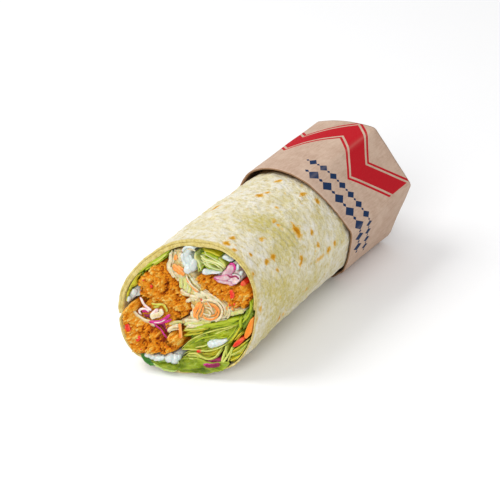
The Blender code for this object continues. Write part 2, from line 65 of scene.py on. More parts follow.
class Finish:
    """A material put together from noises, painted values and ramps, in the object's own metres."""

    def __init__(self, name, roughness, **constants):
        self.material = bpy.data.materials.new(name)
        self.material.use_nodes = True
        self.tree = self.material.node_tree
        self.shader = self.tree.nodes["Principled BSDF"]
        self.shader.inputs["Roughness"].default_value = roughness
        for socket, value in constants.items():
            self.shader.inputs[socket.replace("_", " ")].default_value = value
        self.place = self.add("ShaderNodeTexCoord").outputs["Object"]

    def add(self, kind, **settings):
        node = self.tree.nodes.new(kind)
        for key, value in settings.items():
            setattr(node, key, value)
        return node

    def feed(self, socket, value):
        if isinstance(value, bpy.types.NodeSocket):
            self.tree.links.new(value, socket)
        elif isinstance(value, tuple):
            socket.default_value = (*value, 1.0)
        else:
            socket.default_value = value

    def texture(self, kind, size, stretch, **settings):
        """A texture whose features are so many millimetres, stretched by axis."""
        scaled = self.add("ShaderNodeMapping")
        self.feed(scaled.inputs["Vector"], self.place)
        scaled.inputs["Scale"].default_value = [1000 / size / s for s in stretch]
        node = self.add(kind, **settings)
        self.feed(node.inputs["Vector"], scaled.outputs["Vector"])
        node.inputs["Scale"].default_value = 1.0
        return node

    def grain(self, size, detail=3.0, rough=0.6, stretch=(1, 1, 1)):
        node = self.texture("ShaderNodeTexNoise", size, stretch)
        node.inputs["Detail"].default_value = detail
        node.inputs["Roughness"].default_value = rough
        return node.outputs[0]

    def cells(self, size, feature="F1", stretch=(1, 1, 1)):
        return self.texture("ShaderNodeTexVoronoi", size, stretch, feature=feature).outputs["Distance"]

    def painted(self, name, output="Fac"):
        return self.add("ShaderNodeAttribute", attribute_name=name).outputs[output]

    def sum(self, operation, a, b=0.0):
        node = self.add("ShaderNodeMath", operation=operation)
        self.feed(node.inputs[0], a)
        self.feed(node.inputs[1], b)
        return node.outputs[0]

    def plus(self, a, b):
        return self.sum("ADD", a, b)

    def times(self, a, b):
        return self.sum("MULTIPLY", a, b)

    def ramp(self, factor, *stops):
        node = self.add("ShaderNodeValToRGB")
        self.feed(node.inputs["Fac"], factor)
        elements = node.color_ramp.elements
        while len(elements) < len(stops):
            elements.new(0.5)
        for element, (position, colour) in zip(elements, stops):
            element.position = position
            element.color = (*colour, 1.0) if isinstance(colour, tuple) else (colour, colour, colour, 1.0)
        return node.outputs["Color"]

    def mixed(self, factor, a, b):
        node = self.add("ShaderNodeMix", data_type="RGBA")
        self.feed(node.inputs[0], factor)
        self.feed(node.inputs[6], a)
        self.feed(node.inputs[7], b)
        return node.outputs[2]

    def coloured(self, value):
        self.feed(self.shader.inputs["Base Color"], value)

    def shine(self, value):
        self.feed(self.shader.inputs["Roughness"], value)

    def bumped(self, height, depth):
        node = self.add("ShaderNodeBump")
        self.feed(node.inputs["Height"], height)
        node.inputs["Distance"].default_value = depth / 1000
        self.feed(self.shader.inputs["Normal"], node.outputs["Normal"])


def linked(obj):
    bpy.context.scene.collection.objects.link(obj)
    return obj


def aimed(name, data, place, towards):
    """A camera or a lamp at its place, looking one way."""
    obj = linked(bpy.data.objects.new(name, data))
    obj.location = place
    obj.rotation_mode = "QUATERNION"
    obj.rotation_quaternion = Vector(towards).to_track_quat("-Z", "Y")
    return obj


camera_data = bpy.data.cameras.new("camera")
camera_data.lens = CAMERA_LENS
camera_data.sensor_width = CAMERA_SENSOR
bpy.context.scene.camera = aimed("camera", camera_data, CAMERA_PLACE, CAMERA_TOWARDS)
bpy.context.scene.view_settings.view_transform = "Standard"

world = bpy.data.worlds.new("white_room")
world.use_nodes = True
background = world.node_tree.nodes["Background"]
background.inputs["Color"].default_value = (1.0, 1.0, 1.0, 1.0)
background.inputs["Strength"].default_value = WORLD_STRENGTH
bpy.context.scene.world = world

for name, (place, power) in LAMPS.items():
    lamp_data = bpy.data.lights.new(name, "AREA")
    lamp_data.size = LAMP_SIZE
    lamp_data.energy = power
    aimed(name, lamp_data, place, LAMP_AIM - Vector(place))

table_mesh = bpy.data.meshes.new("table")
table_sides = ((-1, -1), (1, -1), (1, 1), (-1, 1))
table_corners = [(x * TABLE_HALF, y * TABLE_HALF, -TABLE_BELOW) for x, y in table_sides]
table_mesh.from_pydata(table_corners, [], [(0, 1, 2, 3)])
white_table = Finish("white_table", 0.9)
white_table.coloured(white_table.mixed(white_table.grain(40.0), TABLE_WHITE, TABLE_SHADE))
table_mesh.materials.append(white_table.material)
linked(bpy.data.objects.new("table", table_mesh))


# The carton: one piece of brown kraft board, 0.8 mm thick, folded into six panels and a narrow one
# that it stands on. The wrap bulges it out towards its mouth. Its back end is closed flat.
# The board is printed in red and navy before it is cut and folded.
CARD = 0.8
# The section's corners, x and z in millimetres, and how far each panel bulges at its two ends.
CARTON_CORNERS = (
    (-23.1, 60.2), (12.3, 66.0), (34.8, 38.8), (23.3, 6.8),
    (20.9, 2.95), (15.5, 0.0), (-15.5, 0.0), (-35.5, 27.5),
)
REAR_BULGE = (2.0, 0.0, 0.0, 0.0, 0.0, 0.0, 0.0, 0.0)
MOUTH_BULGE = (5.0, 2.4, 1.2, 0.0, 0.0, 0.0, 1.0, 3.2)
RIDGE = 1
LIFTED_CORNER = 4
MOUTH_LIFT = (0.0, 2.2)
# The mouth's plane: y at the middle, and how it leans with x and z.
MOUTH_Y = -46.8
MOUTH_LEAN_X = -0.042
MOUTH_LEAN_Z = -0.351
LEFT_LIP = 0.25
LEFT_LIP_FROM = -24
PANEL_STEP = 1.3
CARTON_ROWS = 54
INNER_ROW_STEP = 3
KRAFT = (0.56, 0.40, 0.305)
KRAFT_DARK = (0.45, 0.305, 0.22)
KRAFT_PALE = (0.64, 0.49, 0.38)
KRAFT_SPECK = (0.26, 0.16, 0.10)
# The board's inside is painted much darker than its outside, as painted shade inside the carton; its two
# tones are the fibres.
KRAFT_INSIDE_SHADED = (0.36, 0.21, 0.12)
KRAFT_INSIDE_FIBRE_SHADED = (0.24, 0.13, 0.07)
# The print, in millimetres along the board round the carton, up from its rear or down from its lip.
PRINT_RED = (0.47, 0.006, 0.014)
PRINT_NAVY = (0.008, 0.028, 0.085)
ZIGZAG_START = 9.0
ZIGZAG_RUN = 21.0
ZIGZAG_SLOPE = 1.05
ZIGZAG_MIDDLE = 21.0
RED_HALF = 7.6
RED_LINE = (10.4, 1.0)
RED_REACH = (-19.0, 52.0)
UNPRINTED_REAR = 0.4
# Rows of lozenges: middle below the lip, half height, period, and where the row is centred and reaches.
LOZENGE_ROWS = ((8.2, 4.2, 8.6, 25.7, 31.36), (17.6, 3.1, 6.4, 25.6, 36.13))
LOZENGE_SLIM = 0.72
SMALL_LOZENGE = 0.3


def mix(a, b, t):
    return a + (b - a) * t


def smooth(t):
    t = min(max(t, 0.0), 1.0)
    return t * t * (3 - 2 * t)


def in_frame(p):
    """A point drawn in millimetres from the carton's closed end, in the model's metres."""
    return ((p[0] + 0.4) / 1000, (p[1] + 86.6) / 1000, p[2] / 1000)


def ring_faces(count, rows):
    """Faces between rows of points, where each row closes on itself."""
    return [
        (r * count + i, r * count + (i + 1) % count, (r + 1) * count + (i + 1) % count, (r + 1) * count + i)
        for r in range(rows - 1) for i in range(count)
    ]


def made(name, verts, faces, finishes, replaced=(), which=None, painted=None):
    """One piece of the wrap from its mesh, with its finishes by face and its painted values by point."""
    mesh = bpy.data.meshes.new(name)
    mesh.from_pydata([in_frame(v) for v in verts], [], faces)
    for finish in finishes:
        mesh.materials.append(finish.material)
    if which:
        mesh.polygons.foreach_set("material_index", which)
    for kind, values in (painted or {}).items():
        mesh.attributes.new(kind, "FLOAT", "POINT").data.foreach_set("value", values)
    body = bmesh.new()
    body.from_mesh(mesh)
    bmesh.ops.triangulate(body, faces=[f for f in body.faces if len(f.verts) > 4])
    bmesh.ops.recalc_face_normals(body, faces=body.faces)
    body.to_mesh(mesh)
    body.free()
    mesh.shade_smooth()
    piece = linked(bpy.data.objects.new(name, mesh))
    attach(piece, "root")
    if replaced:
        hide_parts(*replaced)
    return piece


def mouth_y(x, z):
    return MOUTH_Y + MOUTH_LEAN_X * x + MOUTH_LEAN_Z * z


def panel_points(v, inset, step=5.0):
    """The carton's section, v from 0 at the closed end to 1 at the mouth, as (point, distance to a fold)."""
    points = []
    corners = [Vector(c) for c in CARTON_CORNERS]
    corners[LIFTED_CORNER] += Vector(MOUTH_LIFT) * v
    count = len(corners)
    for i in range(count):
        start, end = corners[i], corners[(i + 1) % count]
        before, after = corners[i - 1], corners[(i + 2) % count]
        normal = Vector((start.y - end.y, end.x - start.x)).normalized()
        last = Vector((before.y - start.y, start.x - before.x)).normalized()
        following = Vector((end.y - after.y, after.x - end.x)).normalized()
        corner = (normal + last) / (1 + normal.dot(last))
        next_corner = (normal + following) / (1 + normal.dot(following))
        bulge = mix(REAR_BULGE[i], MOUTH_BULGE[i], v)
        length = (Vector(CARTON_CORNERS[(i + 1) % count]) - Vector(CARTON_CORNERS[i])).length
        splits = max(3, round(length / step))
        for k in range(splits):
            t = k / splits
            out = normal * bulge * 4 * t * (1 - t)
            inward = corner.lerp(next_corner, t) * inset
            points.append((start.lerp(end, t) + out - inward, min(t, 1 - t) * length))
    return points


def softened(points, passes):
    """Rounds the folds of a section by drawing the points near them towards their neighbours."""
    places = [p for p, _ in points]
    for _ in range(passes):
        places = [
            p.lerp((places[i - 1] + places[(i + 1) % len(places)]) / 2, 0.6) if points[i][1] < 1.0 else p
            for i, p in enumerate(places)
        ]
    return places


verts, fold, around, back = [], [], [], []
section = panel_points(0, 0, PANEL_STEP)
count = len(section)
ridge = next(i for i, (p, _) in enumerate(section) if (p - Vector(CARTON_CORNERS[RIDGE])).length < 0.01)
for side, rows in (("outer", range(CARTON_ROWS + 1)), ("inner", range(CARTON_ROWS, -1, -INNER_ROW_STEP))):
    for row in rows:
        v = row / CARTON_ROWS
        cad = panel_points(v, 0.0, PANEL_STEP)
        points = softened(cad if side == "outer" else panel_points(v, CARD, PANEL_STEP), 1)
        lengths = [0.0]
        for i in range(1, count + 1):
            lengths.append(lengths[-1] + (points[i % count] - points[i - 1]).length)
        for i, p in enumerate(points):
            y = v * mouth_y(*cad[i][0])
            y -= v * LEFT_LIP * max(0.0, LEFT_LIP_FROM - cad[i][0].x)
            ripple = 0.25 * noise.noise(Vector((p.x, y * 0.6, p.y)) * 0.09)
            ripple += 0.12 * v * noise.noise(Vector((p.x, y, p.y)) * 0.3)
            out = (p - Vector((0.0, 33.0))).normalized() * (ripple - 0.1)
            flat = 0.0 if p.y < 1.0 else 1.0
            edge = 0.22 * noise.noise(Vector((p.x, p.y, 9.0)) * 0.5) * v ** 8
            closed_end = 0.0 if side == "outer" else -CARD
            verts.append((p.x + out.x * flat, min(y + edge, closed_end), p.y + out.y * flat))
            fold.append(max(0.0, 1 - section[i][1] / 1.6))
            around.append(lengths[i] - lengths[ridge])
            back.append(-y)
rows = len(verts) // count
faces = ring_faces(count, rows)
faces += [tuple(range((rows - 1) * count, rows * count)), tuple(reversed(range(count)))]

kraft = Finish("printed_kraft", 0.82, Specular_IOR_Level=0.15)
fibres = kraft.grain(0.9, 4.0, 0.7, (1, 5, 1))
blotches = kraft.grain(9.0, 3.0, 0.6)
board = kraft.mixed(kraft.ramp(fibres, (0.35, 0.0), (0.68, 1.0)), KRAFT, KRAFT_DARK)
board = kraft.mixed(kraft.ramp(blotches, (0.4, 0.0), (0.7, 0.55)), board, KRAFT_PALE)
specks = kraft.ramp(kraft.cells(1.7, "F1"), (0.0, 1.0), (0.13, 0.0))
board = kraft.mixed(kraft.times(specks, 0.45), board, KRAFT_SPECK)
split = kraft.add("ShaderNodeSeparateXYZ")
kraft.feed(split.inputs[0], kraft.painted("sheet_place", "Vector"))
along, from_rear, from_lip = split.outputs


def band(value, middle, half):
    """1 where a value lies within half of the middle."""
    return kraft.sum("LESS_THAN", kraft.sum("ABSOLUTE", kraft.sum("SUBTRACT", value, middle)), half)


zigzag = kraft.sum("PINGPONG", kraft.plus(along, ZIGZAG_START), ZIGZAG_RUN)
zigzag = kraft.times(kraft.sum("SUBTRACT", zigzag, ZIGZAG_RUN / 2), ZIGZAG_SLOPE)
off_line = kraft.sum("SUBTRACT", kraft.sum("SUBTRACT", from_rear, ZIGZAG_MIDDLE), zigzag)
off_line = kraft.sum("ABSOLUTE", off_line)
worn = kraft.ramp(kraft.grain(0.5, 4.0, 0.8), (0.28, 0.85), (0.40, 1.0))
red_area = kraft.sum("MAXIMUM", kraft.sum("LESS_THAN", off_line, RED_HALF), band(off_line, *RED_LINE))
red_area = kraft.times(red_area, band(along, *RED_REACH))
red_area = kraft.times(red_area, kraft.sum("GREATER_THAN", from_rear, UNPRINTED_REAR))
printed = kraft.mixed(kraft.times(red_area, worn), board, PRINT_RED)
for middle, half, period, centre, reach in LOZENGE_ROWS:
    step = kraft.sum("FRACT", kraft.sum("DIVIDE", kraft.plus(along, 400.0), period))
    aside = kraft.sum("ABSOLUTE", kraft.times(kraft.sum("SUBTRACT", step, 0.5), period))
    aloft = kraft.sum("ABSOLUTE", kraft.sum("SUBTRACT", from_lip, middle))
    lozenge = kraft.plus(kraft.sum("DIVIDE", aside, half * LOZENGE_SLIM), kraft.sum("DIVIDE", aloft, half))
    between = kraft.plus(kraft.sum("SUBTRACT", period / 2, aside), aloft)
    small = kraft.sum("LESS_THAN", between, half * SMALL_LOZENGE)
    mark = kraft.sum("MAXIMUM", kraft.sum("LESS_THAN", lozenge, 1.0), small)
    mark = kraft.times(mark, band(along, centre, reach))
    printed = kraft.mixed(kraft.times(mark, worn), printed, PRINT_NAVY)
# The board is a little paler along its folds.
paler_at_folds = kraft.times(kraft.painted("fold"), 0.12)
kraft.coloured(kraft.mixed(paler_at_folds, printed, KRAFT_PALE))
kraft.bumped(kraft.plus(fibres, kraft.grain(2.5, 2.0)), 0.08)

# The inside of the board: kraft fibres darkened with painted shade.
inner_board_shaded = Finish("inner_kraft_painted_shade", 0.9, Specular_IOR_Level=0.25)
plain_fibres = inner_board_shaded.grain(0.7, 4.0, 0.7, (1, 4, 1))
inner_board_shaded.coloured(inner_board_shaded.mixed(plain_fibres, KRAFT_INSIDE_SHADED, KRAFT_INSIDE_FIBRE_SHADED))
inner_board_shaded.bumped(plain_fibres, 0.08)

outer_faces = CARTON_ROWS * count
which = [0 if i < outer_faces else 1 for i in range(len(faces) - 1)] + [0]
finishes = [kraft, inner_board_shaded]
carton = made("carton_sleeve", verts, faces, finishes, ["carton"], which, {"fold": fold})

# Where each corner of a face lies on the flat board: along it, up from the rear and down from the lip.
lip = [mouth_y(*p) for p, _ in section]
turn = lengths[-1]
values = []
for polygon in carton.data.polygons:
    us = [around[v] for v in polygon.vertices]
    for v, u in zip(polygon.vertices, us):
        u = u + turn if max(us) - u > turn / 2 else u
        values += [u, back[v], -lip[v % count] - back[v]]
carton.data.attributes.new("sheet_place", "FLOAT_VECTOR", "CORNER").data.foreach_set("vector", values)


# The tortilla: one soft wheat sheet, 1.45 mm thick, rolled clockwise round its filling so that it
# lies double over the top. It is pan-baked: cream with fine blisters, toasted spots and patches
# where the oil makes it look olive. The roll was cut across at a slant.
CUT_Y = -155.7
CUT_LEAN_X = 0.28
CUT_LEAN_Z = 0.29
CUT_MIDDLE_Z = 32.5
SHEET = 1.45
SLACK = 0.35
FIT = 0.35
OUTER_END = 195.0
OVERLAP = 190.0
CUT_CENTRE = (-2.0, 33.0)
ROUND_CENTRE = (0.0, 33.0)
CUT_RADII = (33.0, 33.3, 33.6, 33.0, 32.0, 31.5, 31.0, 32.0, 33.5, 34.2, 35.5, 33.2, 33.0, 33.2, 36.3, 34.9)
ROUND_RADIUS = 32.7
REAR_RADIUS = 31.4
OUTER_SAMPLES = 270
INNER_SAMPLES = 70
SHEET_ROWS = 118
CREAM = (0.74, 0.68, 0.485)
# The paler cream is painted highlight on the tops of the sheet's fine wrinkles, and the hollow colour is
# painted shade in their hollows.
CREAM_TOP_HIGHLIGHT = (0.80, 0.765, 0.67)
HOLLOW_SHADE = (0.60, 0.49, 0.23)
OLIVE = (0.56, 0.475, 0.13)
GOLDEN = (0.72, 0.42, 0.06)
TOAST = (0.60, 0.26, 0.004)
TOAST_DARK = (0.42, 0.13, 0.002)
CUT_EDGE = (0.52, 0.40, 0.10)
CUT_EDGE_PALE = (0.72, 0.60, 0.25)
DRY_PATCH = (0.66, 0.56, 0.27)
# Painted shade on the part of the sheet that lies inside the carton's mouth.
SHADE_IN_THE_CARTON = (0.16, 0.085, 0.03)
# Where the wrap turns from its outline at the cut to a round one, gives way to the carton and is held
# by it: the y that this starts at, and over how many millimetres.
TURNS_ROUND = (-142, 36)
GIVES_WAY = (-104, 100)
IS_HELD = (-80, 12)
MIDWAY_Y = -46.0
REAR_Y = -4.0
# The room between the wrap and the board, and the steps of the carton's length that it is worked out at.
PACKING = 0.6
HELD_LENGTH = 60
HELD_STEPS = 40
# The sheet's relief fades out before this y, over so many millimetres.
FLAT_FROM = -48
FLAT_OVER = 14
# What a degree round the wrap is in millimetres.
DEGREE = 0.57
# Toasted spots: degrees round the wrap, millimetres back from the cut, size round and along, strength.
TOASTED = (
    (90, 53, 1.5, 1.7, 1.0), (87, 57, 1.2, 1.3, 0.8), (64, 67, 1.2, 2.4, 0.9), (51, 71, 1.8, 1.5, 0.9),
    (69, 47, 1.1, 1.1, 0.6), (42, 44, 3.6, 1.7, 1.1), (33, 53, 1.7, 1.4, 0.9), (10, 71, 1.4, 1.4, 0.8),
    (20, 55, 1.5, 1.2, 0.8), (8, 65, 1.6, 1.6, 0.9), (7, 57, 1.2, 4.5, 0.5), (20, 39, 1.7, 1.5, 0.9),
    (16, 38, 1.4, 1.4, 0.7), (36, 20, 1.5, 1.8, 0.9), (36, 14, 1.3, 2.2, 0.8), (25, 19, 1.1, 1.1, 0.7),
    (34, 1, 1.2, 1.8, 0.8), (60, 37, 1.4, 1.4, 0.7), (56, 37, 1.3, 1.3, 0.7), (54, 21, 1.2, 1.8, 0.7),
    (90, 71, 1.6, 1.8, 0.8), (69, 9, 1.4, 2.0, 0.8), (68, 3, 1.6, 1.8, 0.9), (59, 2, 1.3, 1.3, 0.8),
    (48, 7, 1.2, 1.0, 0.9), (3, 4, 1.5, 1.5, 0.6), (-4, 1, 1.4, 1.2, 0.6), (118, 42, 2.2, 2.6, 0.7),
    (128, 66, 1.6, 2.0, 0.8), (140, 25, 2.0, 1.6, 0.6), (152, 50, 2.4, 3.0, 0.8), (165, 74, 1.8, 1.8, 0.8),
    (172, 18, 1.8, 2.2, 0.7), (-25, 30, 2.2, 2.4, 0.8), (-38, 62, 1.8, 2.2, 0.8), (-50, 22, 2.6, 2.0, 0.7),
    (-62, 45, 2.0, 2.8, 0.8), (-80, 70, 2.4, 2.0, 0.7), (-100, 30, 2.2, 2.2, 0.8), (-125, 55, 2.6, 2.6, 0.8),
    (-150, 20, 1.8, 2.0, 0.7), (-160, 60, 2.0, 2.4, 0.8), (-14, 48, 1.2, 1.6, 0.7), (188, 38, 1.6, 1.9, 0.7),
)
# Olive patches, in the same terms.
OILED = (
    (70, 28, 7, 9, 1.0), (59, 33, 7, 9, 1.0), (39, 36, 8, 9, 1.0), (36, 25, 7, 7, 0.8), (16, 9, 8, 7, 0.8),
    (2, 22, 11, 12, 1.0), (106, 17, 9, 6, 0.35), (35, 63, 8, 6, 0.5), (13, 76, 8, 6, 0.5),
    (-12, 45, 9, 20, 0.8), (72, 56, 6, 5, 0.5), (54, 50, 6, 7, 0.5), (-30, 20, 9, 12, 0.8),
    (150, 35, 8, 12, 0.5), (178, 60, 9, 12, 0.6), (-60, 50, 12, 20, 0.6), (-110, 30, 12, 14, 0.6),
    (-150, 50, 12, 20, 0.6), (122, 70, 8, 8, 0.4),
)
# Creases that stand up from the sheet: from and to, each in degrees and millimetres, and height.
CREASED = (
    ((56, 37), (33, 40), 0.55), ((57, 29), (37, 32), 0.5), ((84, 42), (74, 36), 0.35),
    ((30, 14), (12, 22), 0.3), ((92, 20), (70, 16), 0.3), ((24, 60), (8, 50), 0.35),
    ((-10, 30), (-40, 36), 0.5), ((150, 30), (125, 45), 0.4), ((178, 50), (158, 62), 0.45),
    ((-70, 30), (-95, 50), 0.4), ((-120, 60), (-150, 52), 0.4), ((112, 62), (95, 66), 0.3),
)


def cut_y(x, z):
    return CUT_Y + CUT_LEAN_X * x + CUT_LEAN_Z * (z - CUT_MIDDLE_Z)


def polar_radius(points, centre, angle):
    """How far out from the centre a closed outline lies in one direction."""
    away = Vector((math.cos(angle), math.sin(angle)))
    side = Vector((-away.y, away.x))
    for i, point in enumerate(points):
        a = point - centre
        b = points[(i + 1) % len(points)] - centre
        sa, sb = a.dot(side), b.dot(side)
        if (sa >= 0) != (sb >= 0):
            reach = a.lerp(b, sa / (sa - sb)).dot(away)
            if reach > 0:
                return reach
    return 0.0


def eased(p0, p1, p2, p3, t):
    """A smooth curve from p1 to p2, which are the middle two of four places."""
    bend = 2 * p0 - 5 * p1 + 4 * p2 - p3 + t * (3 * (p1 - p2) + p3 - p0)
    return p1 + 0.5 * t * (p2 - p0 + t * bend)


def cut_radius(angle):
    """The wrap's outline at the cut, as a smooth closed curve."""
    count = len(CUT_RADII)
    place = (math.degrees(angle) % 360) / 360 * count
    i = int(place)
    t = place - i
    p0, p1, p2, p3 = (CUT_RADII[(i + k) % count] for k in (-1, 0, 1, 2))
    return eased(p0, p1, p2, p3, t)


def reached(y, span):
    """0 before the start of a span along the wrap, 1 after its end and smooth between them."""
    return smooth((y - span[0]) / span[1])


def wrap_centre(y):
    t = reached(y, TURNS_ROUND)
    return Vector((mix(CUT_CENTRE[0], ROUND_CENTRE[0], t), mix(CUT_CENTRE[1], ROUND_CENTRE[1], t)))


held = {}


def wrap_radius(angle, y):
    """How far out the wrap's skin lies, which gives way to the carton further back."""
    radius = mix(ROUND_RADIUS, REAR_RADIUS, reached(y, GIVES_WAY))
    radius = mix(cut_radius(angle), radius, reached(y, TURNS_ROUND))
    if y > IS_HELD[0]:
        v = round(min(-y / HELD_LENGTH, 1.0) * HELD_STEPS) / HELD_STEPS
        if v not in held:
            held[v] = [p for p, _ in panel_points(v, CARD + PACKING)]
        limit = polar_radius(held[v], wrap_centre(y), angle)
        radius = mix(radius, min(radius, limit), reached(y, IS_HELD))
    return radius


def carried(x, z, y):
    """Where a point drawn at the cut lies further back along the wrap."""
    if y <= TURNS_ROUND[0]:
        return Vector((x, y, z))
    away = Vector((x, z)) - Vector(CUT_CENTRE)
    angle = math.atan2(away.y, away.x)
    part = away.length / cut_radius(angle)
    centre = wrap_centre(y)
    reach = part * wrap_radius(angle, y)
    return Vector((centre.x + reach * math.cos(angle), y, centre.y + reach * math.sin(angle)))


def sheet_inset(turned):
    return (SHEET + SLACK) * smooth((turned - 290) / 65)


def layer(turned):
    """The sheet's thickness, which is less at the right, where it is drawn tight."""
    place = turned % 360
    tight = smooth((place - 105) / 30) * (1 - smooth((place - 230) / 30))
    return SHEET * (1 - 0.4 * tight)


def drawn_inset(turned):
    """The sheet's own outer face, which keeps to the outline until it tucks close under its end."""
    return (layer(turned) - 0.03) * smooth((turned - 355) / 5)


def near_spot(spot, degrees, back):
    """How strongly a spot shows at a place on the sheet, with a ragged edge."""
    angle, along, wide, long, strength = spot
    wide, long = wide * 0.9, long * 0.9
    apart = (degrees - angle + 180) % 360 - 180
    u, v = apart * DEGREE / wide, (back - along) / long
    if abs(u) > 2 or abs(v) > 2:
        return 0.0
    ragged = 1 + 0.7 * noise.noise(Vector((degrees * 0.45, back * 0.8, angle)))
    return strength * smooth((1.7 - math.hypot(u, v) * ragged) / 1.5)


def crease_height(degrees, back):
    height = 0.0
    for (a0, b0), (a1, b1), tall in CREASED:
        start, end = Vector((a0 * DEGREE, b0)), Vector((a1 * DEGREE, b1))
        here = Vector((((degrees - a0 + 180) % 360 - 180 + a0) * DEGREE, back))
        along = end - start
        t = min(max((here - start).dot(along) / along.length_squared, 0.0), 1.0)
        gap = (here - start.lerp(end, t)).length + 0.5 * noise.noise(Vector((here.x, here.y, tall)) * 0.25)
        height += 1.7 * tall * math.exp(-(gap / 0.8) ** 2) * math.sin(math.pi * (0.08 + t * 0.84))
        height -= 0.7 * tall * math.exp(-((gap - 1.8) / 0.8) ** 2)
    return height


def sheet_relief(place, degrees, back):
    """How far the baked sheet's outer face stands out here: blisters, soft waves and creases."""
    drawn = Vector((place.x, place.y + 3 * noise.noise(place * 0.05), place.z))
    relief = 0.7 * noise.noise(place * 0.045) + 0.42 * noise.noise(drawn * 0.15)
    relief += 0.30 * noise.noise(drawn * 0.38) + 0.16 * noise.noise(place * 0.9)
    blister = noise.noise(place * 0.26 + Vector((7, 3, 1)))
    wrinkle = 1 - abs(noise.noise(Vector((drawn.x * 0.12, drawn.y * 0.07, drawn.z * 0.12))) * 3.2)
    relief += 0.6 * max(0.0, blister - 0.2)
    relief += 0.35 * max(0.0, wrinkle - 0.3)
    return relief + crease_height(degrees, back) - 0.35


verts, faces, which = [], [], []
toast, oil, edge, carton_shade = [], [], [], []
turns = [360 * k / OUTER_SAMPLES for k in range(OUTER_SAMPLES)]
turns += [360 + OVERLAP * k / INNER_SAMPLES for k in range(INNER_SAMPLES + 1)]
across = len(turns)
fronts = (0.0, 0.12, 0.45, 1.0)
row_places = [(0.0, b) for b in fronts] + [(k / SHEET_ROWS, 1.0) for k in range(1, SHEET_ROWS + 1)]
row_places += [(1.0 + s, 1.0) for s in (0.25, 0.6, 1.0)]
for row, (s, at) in enumerate(row_places):
    for turned in turns:
        angle = math.radians(OUTER_END - turned)
        degrees = OUTER_END - turned
        reach = cut_radius(angle) - drawn_inset(turned)
        slack = 1.1 * smooth((turned - 370) / 30) * (1 - smooth((turned - 470) / 50))
        slack *= 0.7 + 0.6 * noise.noise(Vector((turned * 0.03, 4, 2)))
        thinned = 0.5 * (1 - smooth(turned / 6))
        away = Vector((math.cos(angle), math.sin(angle)))
        for side in (0, 1):
            depth = reach - thinned if side == 0 else reach - layer(turned) - slack * (1 - smooth(s / 0.2))
            doubled = turned > 360 if side == 0 else turned < OVERLAP
            round_off = (1 - at) ** 2 * (0.0 if doubled else 0.3)
            depth += round_off * (1 if side else -1) * (1 - thinned)
            x, z = Vector(CUT_CENTRE) + away * depth
            ripple = 0.8 * noise.noise(Vector((away.x * 2, away.y * 2, 3)))
            ripple -= 0.2 if turned > 360 else 0.0
            ripple += 0.3 * noise.noise(Vector((away.x * 9, away.y * 9, 1)))
            front = cut_y(x, z) + ripple - 0.35
            y = mix(front + at * 0.9, MIDWAY_Y, s) if s <= 1 else mix(MIDWAY_Y, REAR_Y, s - 1)
            point = carried(x, z, y)
            back_from_cut = y - cut_y(x, z)
            shown = 1.0 if s <= 1 else 0.0
            if side == 0 and turned < 362:
                out = point - Vector((wrap_centre(y).x, y, wrap_centre(y).y))
                relief = sheet_relief(point, degrees, back_from_cut) * shown
                relief *= smooth((FLAT_FROM - y) / FLAT_OVER)
                low = smooth(point.z / 3.0)
                point += out.normalized() * relief * min(1.0, 0.35 + back_from_cut / 6) * low
                toast.append(min(1.0, sum(near_spot(t, degrees, back_from_cut) for t in TOASTED)))
                oil.append(min(1.0, sum(near_spot(o, degrees, back_from_cut) for o in OILED)))
            else:
                point += Vector((away.x, 0, away.y)) * 0.12 * noise.noise(point * 0.4) * shown
                toast.append(0.0)
                oil.append(0.55 + 0.4 * noise.noise(point * 0.2))
            edge.append(max(0.0, 1 - back_from_cut / 1.6) if s < 0.1 else 0.0)
            # Painted shade: the sheet darkens from just before the carton's lip to a little way inside it.
            carton_shade.append(smooth((point.y - mouth_y(point.x, point.z) + 1.0) / 3.5))
            point.z = max(point.z, 0.0)
            verts.append(tuple(point))
count = across * 2
rows = len(row_places)
for r in range(rows - 1):
    for k in range(across - 1):
        a, b = r * count + 2 * k, r * count + 2 * (k + 1)
        faces.append((a, b, b + count, a + count))
        faces.append((b + 1, a + 1, a + 1 + count, b + 1 + count))
    for k in (0, across - 1):
        a = r * count + 2 * k
        faces.append((a, a + 1, a + 1 + count, a + count))
for k in range(across - 1):
    for base in (0, (rows - 1) * count):
        a, b = base + 2 * k, base + 2 * (k + 1)
        faces.append((a, a + 1, b + 1, b))

dough = Finish(
    "baked_dough", 0.7, Specular_IOR_Level=0.12, Subsurface_Weight=0.08, Subsurface_Scale=0.001,
    Subsurface_Radius=(1.0, 0.75, 0.4),
)
# The fine wrinkles drive both the bump and the colour: painted shade darkens their hollows and the lines of
# the folds, and painted highlight pales their tops.
folds = dough.ramp(dough.cells(6.5, "DISTANCE_TO_EDGE", (1.5, 0.8, 1.5)), (0.0, 0.0), (0.14, 1.0))
wrinkles = dough.times(dough.grain(2.3, 5.0, 0.60, (1.1, 0.9, 1.1)), 0.6)
wrinkles = dough.plus(wrinkles, dough.times(dough.grain(4.6, 4.0, 0.6), 0.4))
wrinkles = dough.sum("SUBTRACT", wrinkles, dough.times(dough.sum("SUBTRACT", 1.0, folds), 0.05))
broad = dough.grain(7.0, 3.0, 0.6)
surface = dough.ramp(wrinkles, (0.35, HOLLOW_SHADE), (0.455, CREAM), (0.56, CREAM_TOP_HIGHLIGHT))
surface = dough.mixed(dough.ramp(broad, (0.36, 0.30), (0.56, 0.0)), surface, DRY_PATCH)
patches = dough.ramp(dough.grain(15.0, 3.0, 0.55), (0.50, 0.0), (0.66, 0.2))
oiled = dough.sum("MAXIMUM", dough.painted("oil"), patches)
flecks = dough.ramp(dough.grain(2.0, 4.0, 0.7), (0.36, 0.35), (0.60, 1.0))
oiled = dough.times(oiled, flecks)
surface = dough.mixed(dough.times(oiled, 0.92), surface, OLIVE)
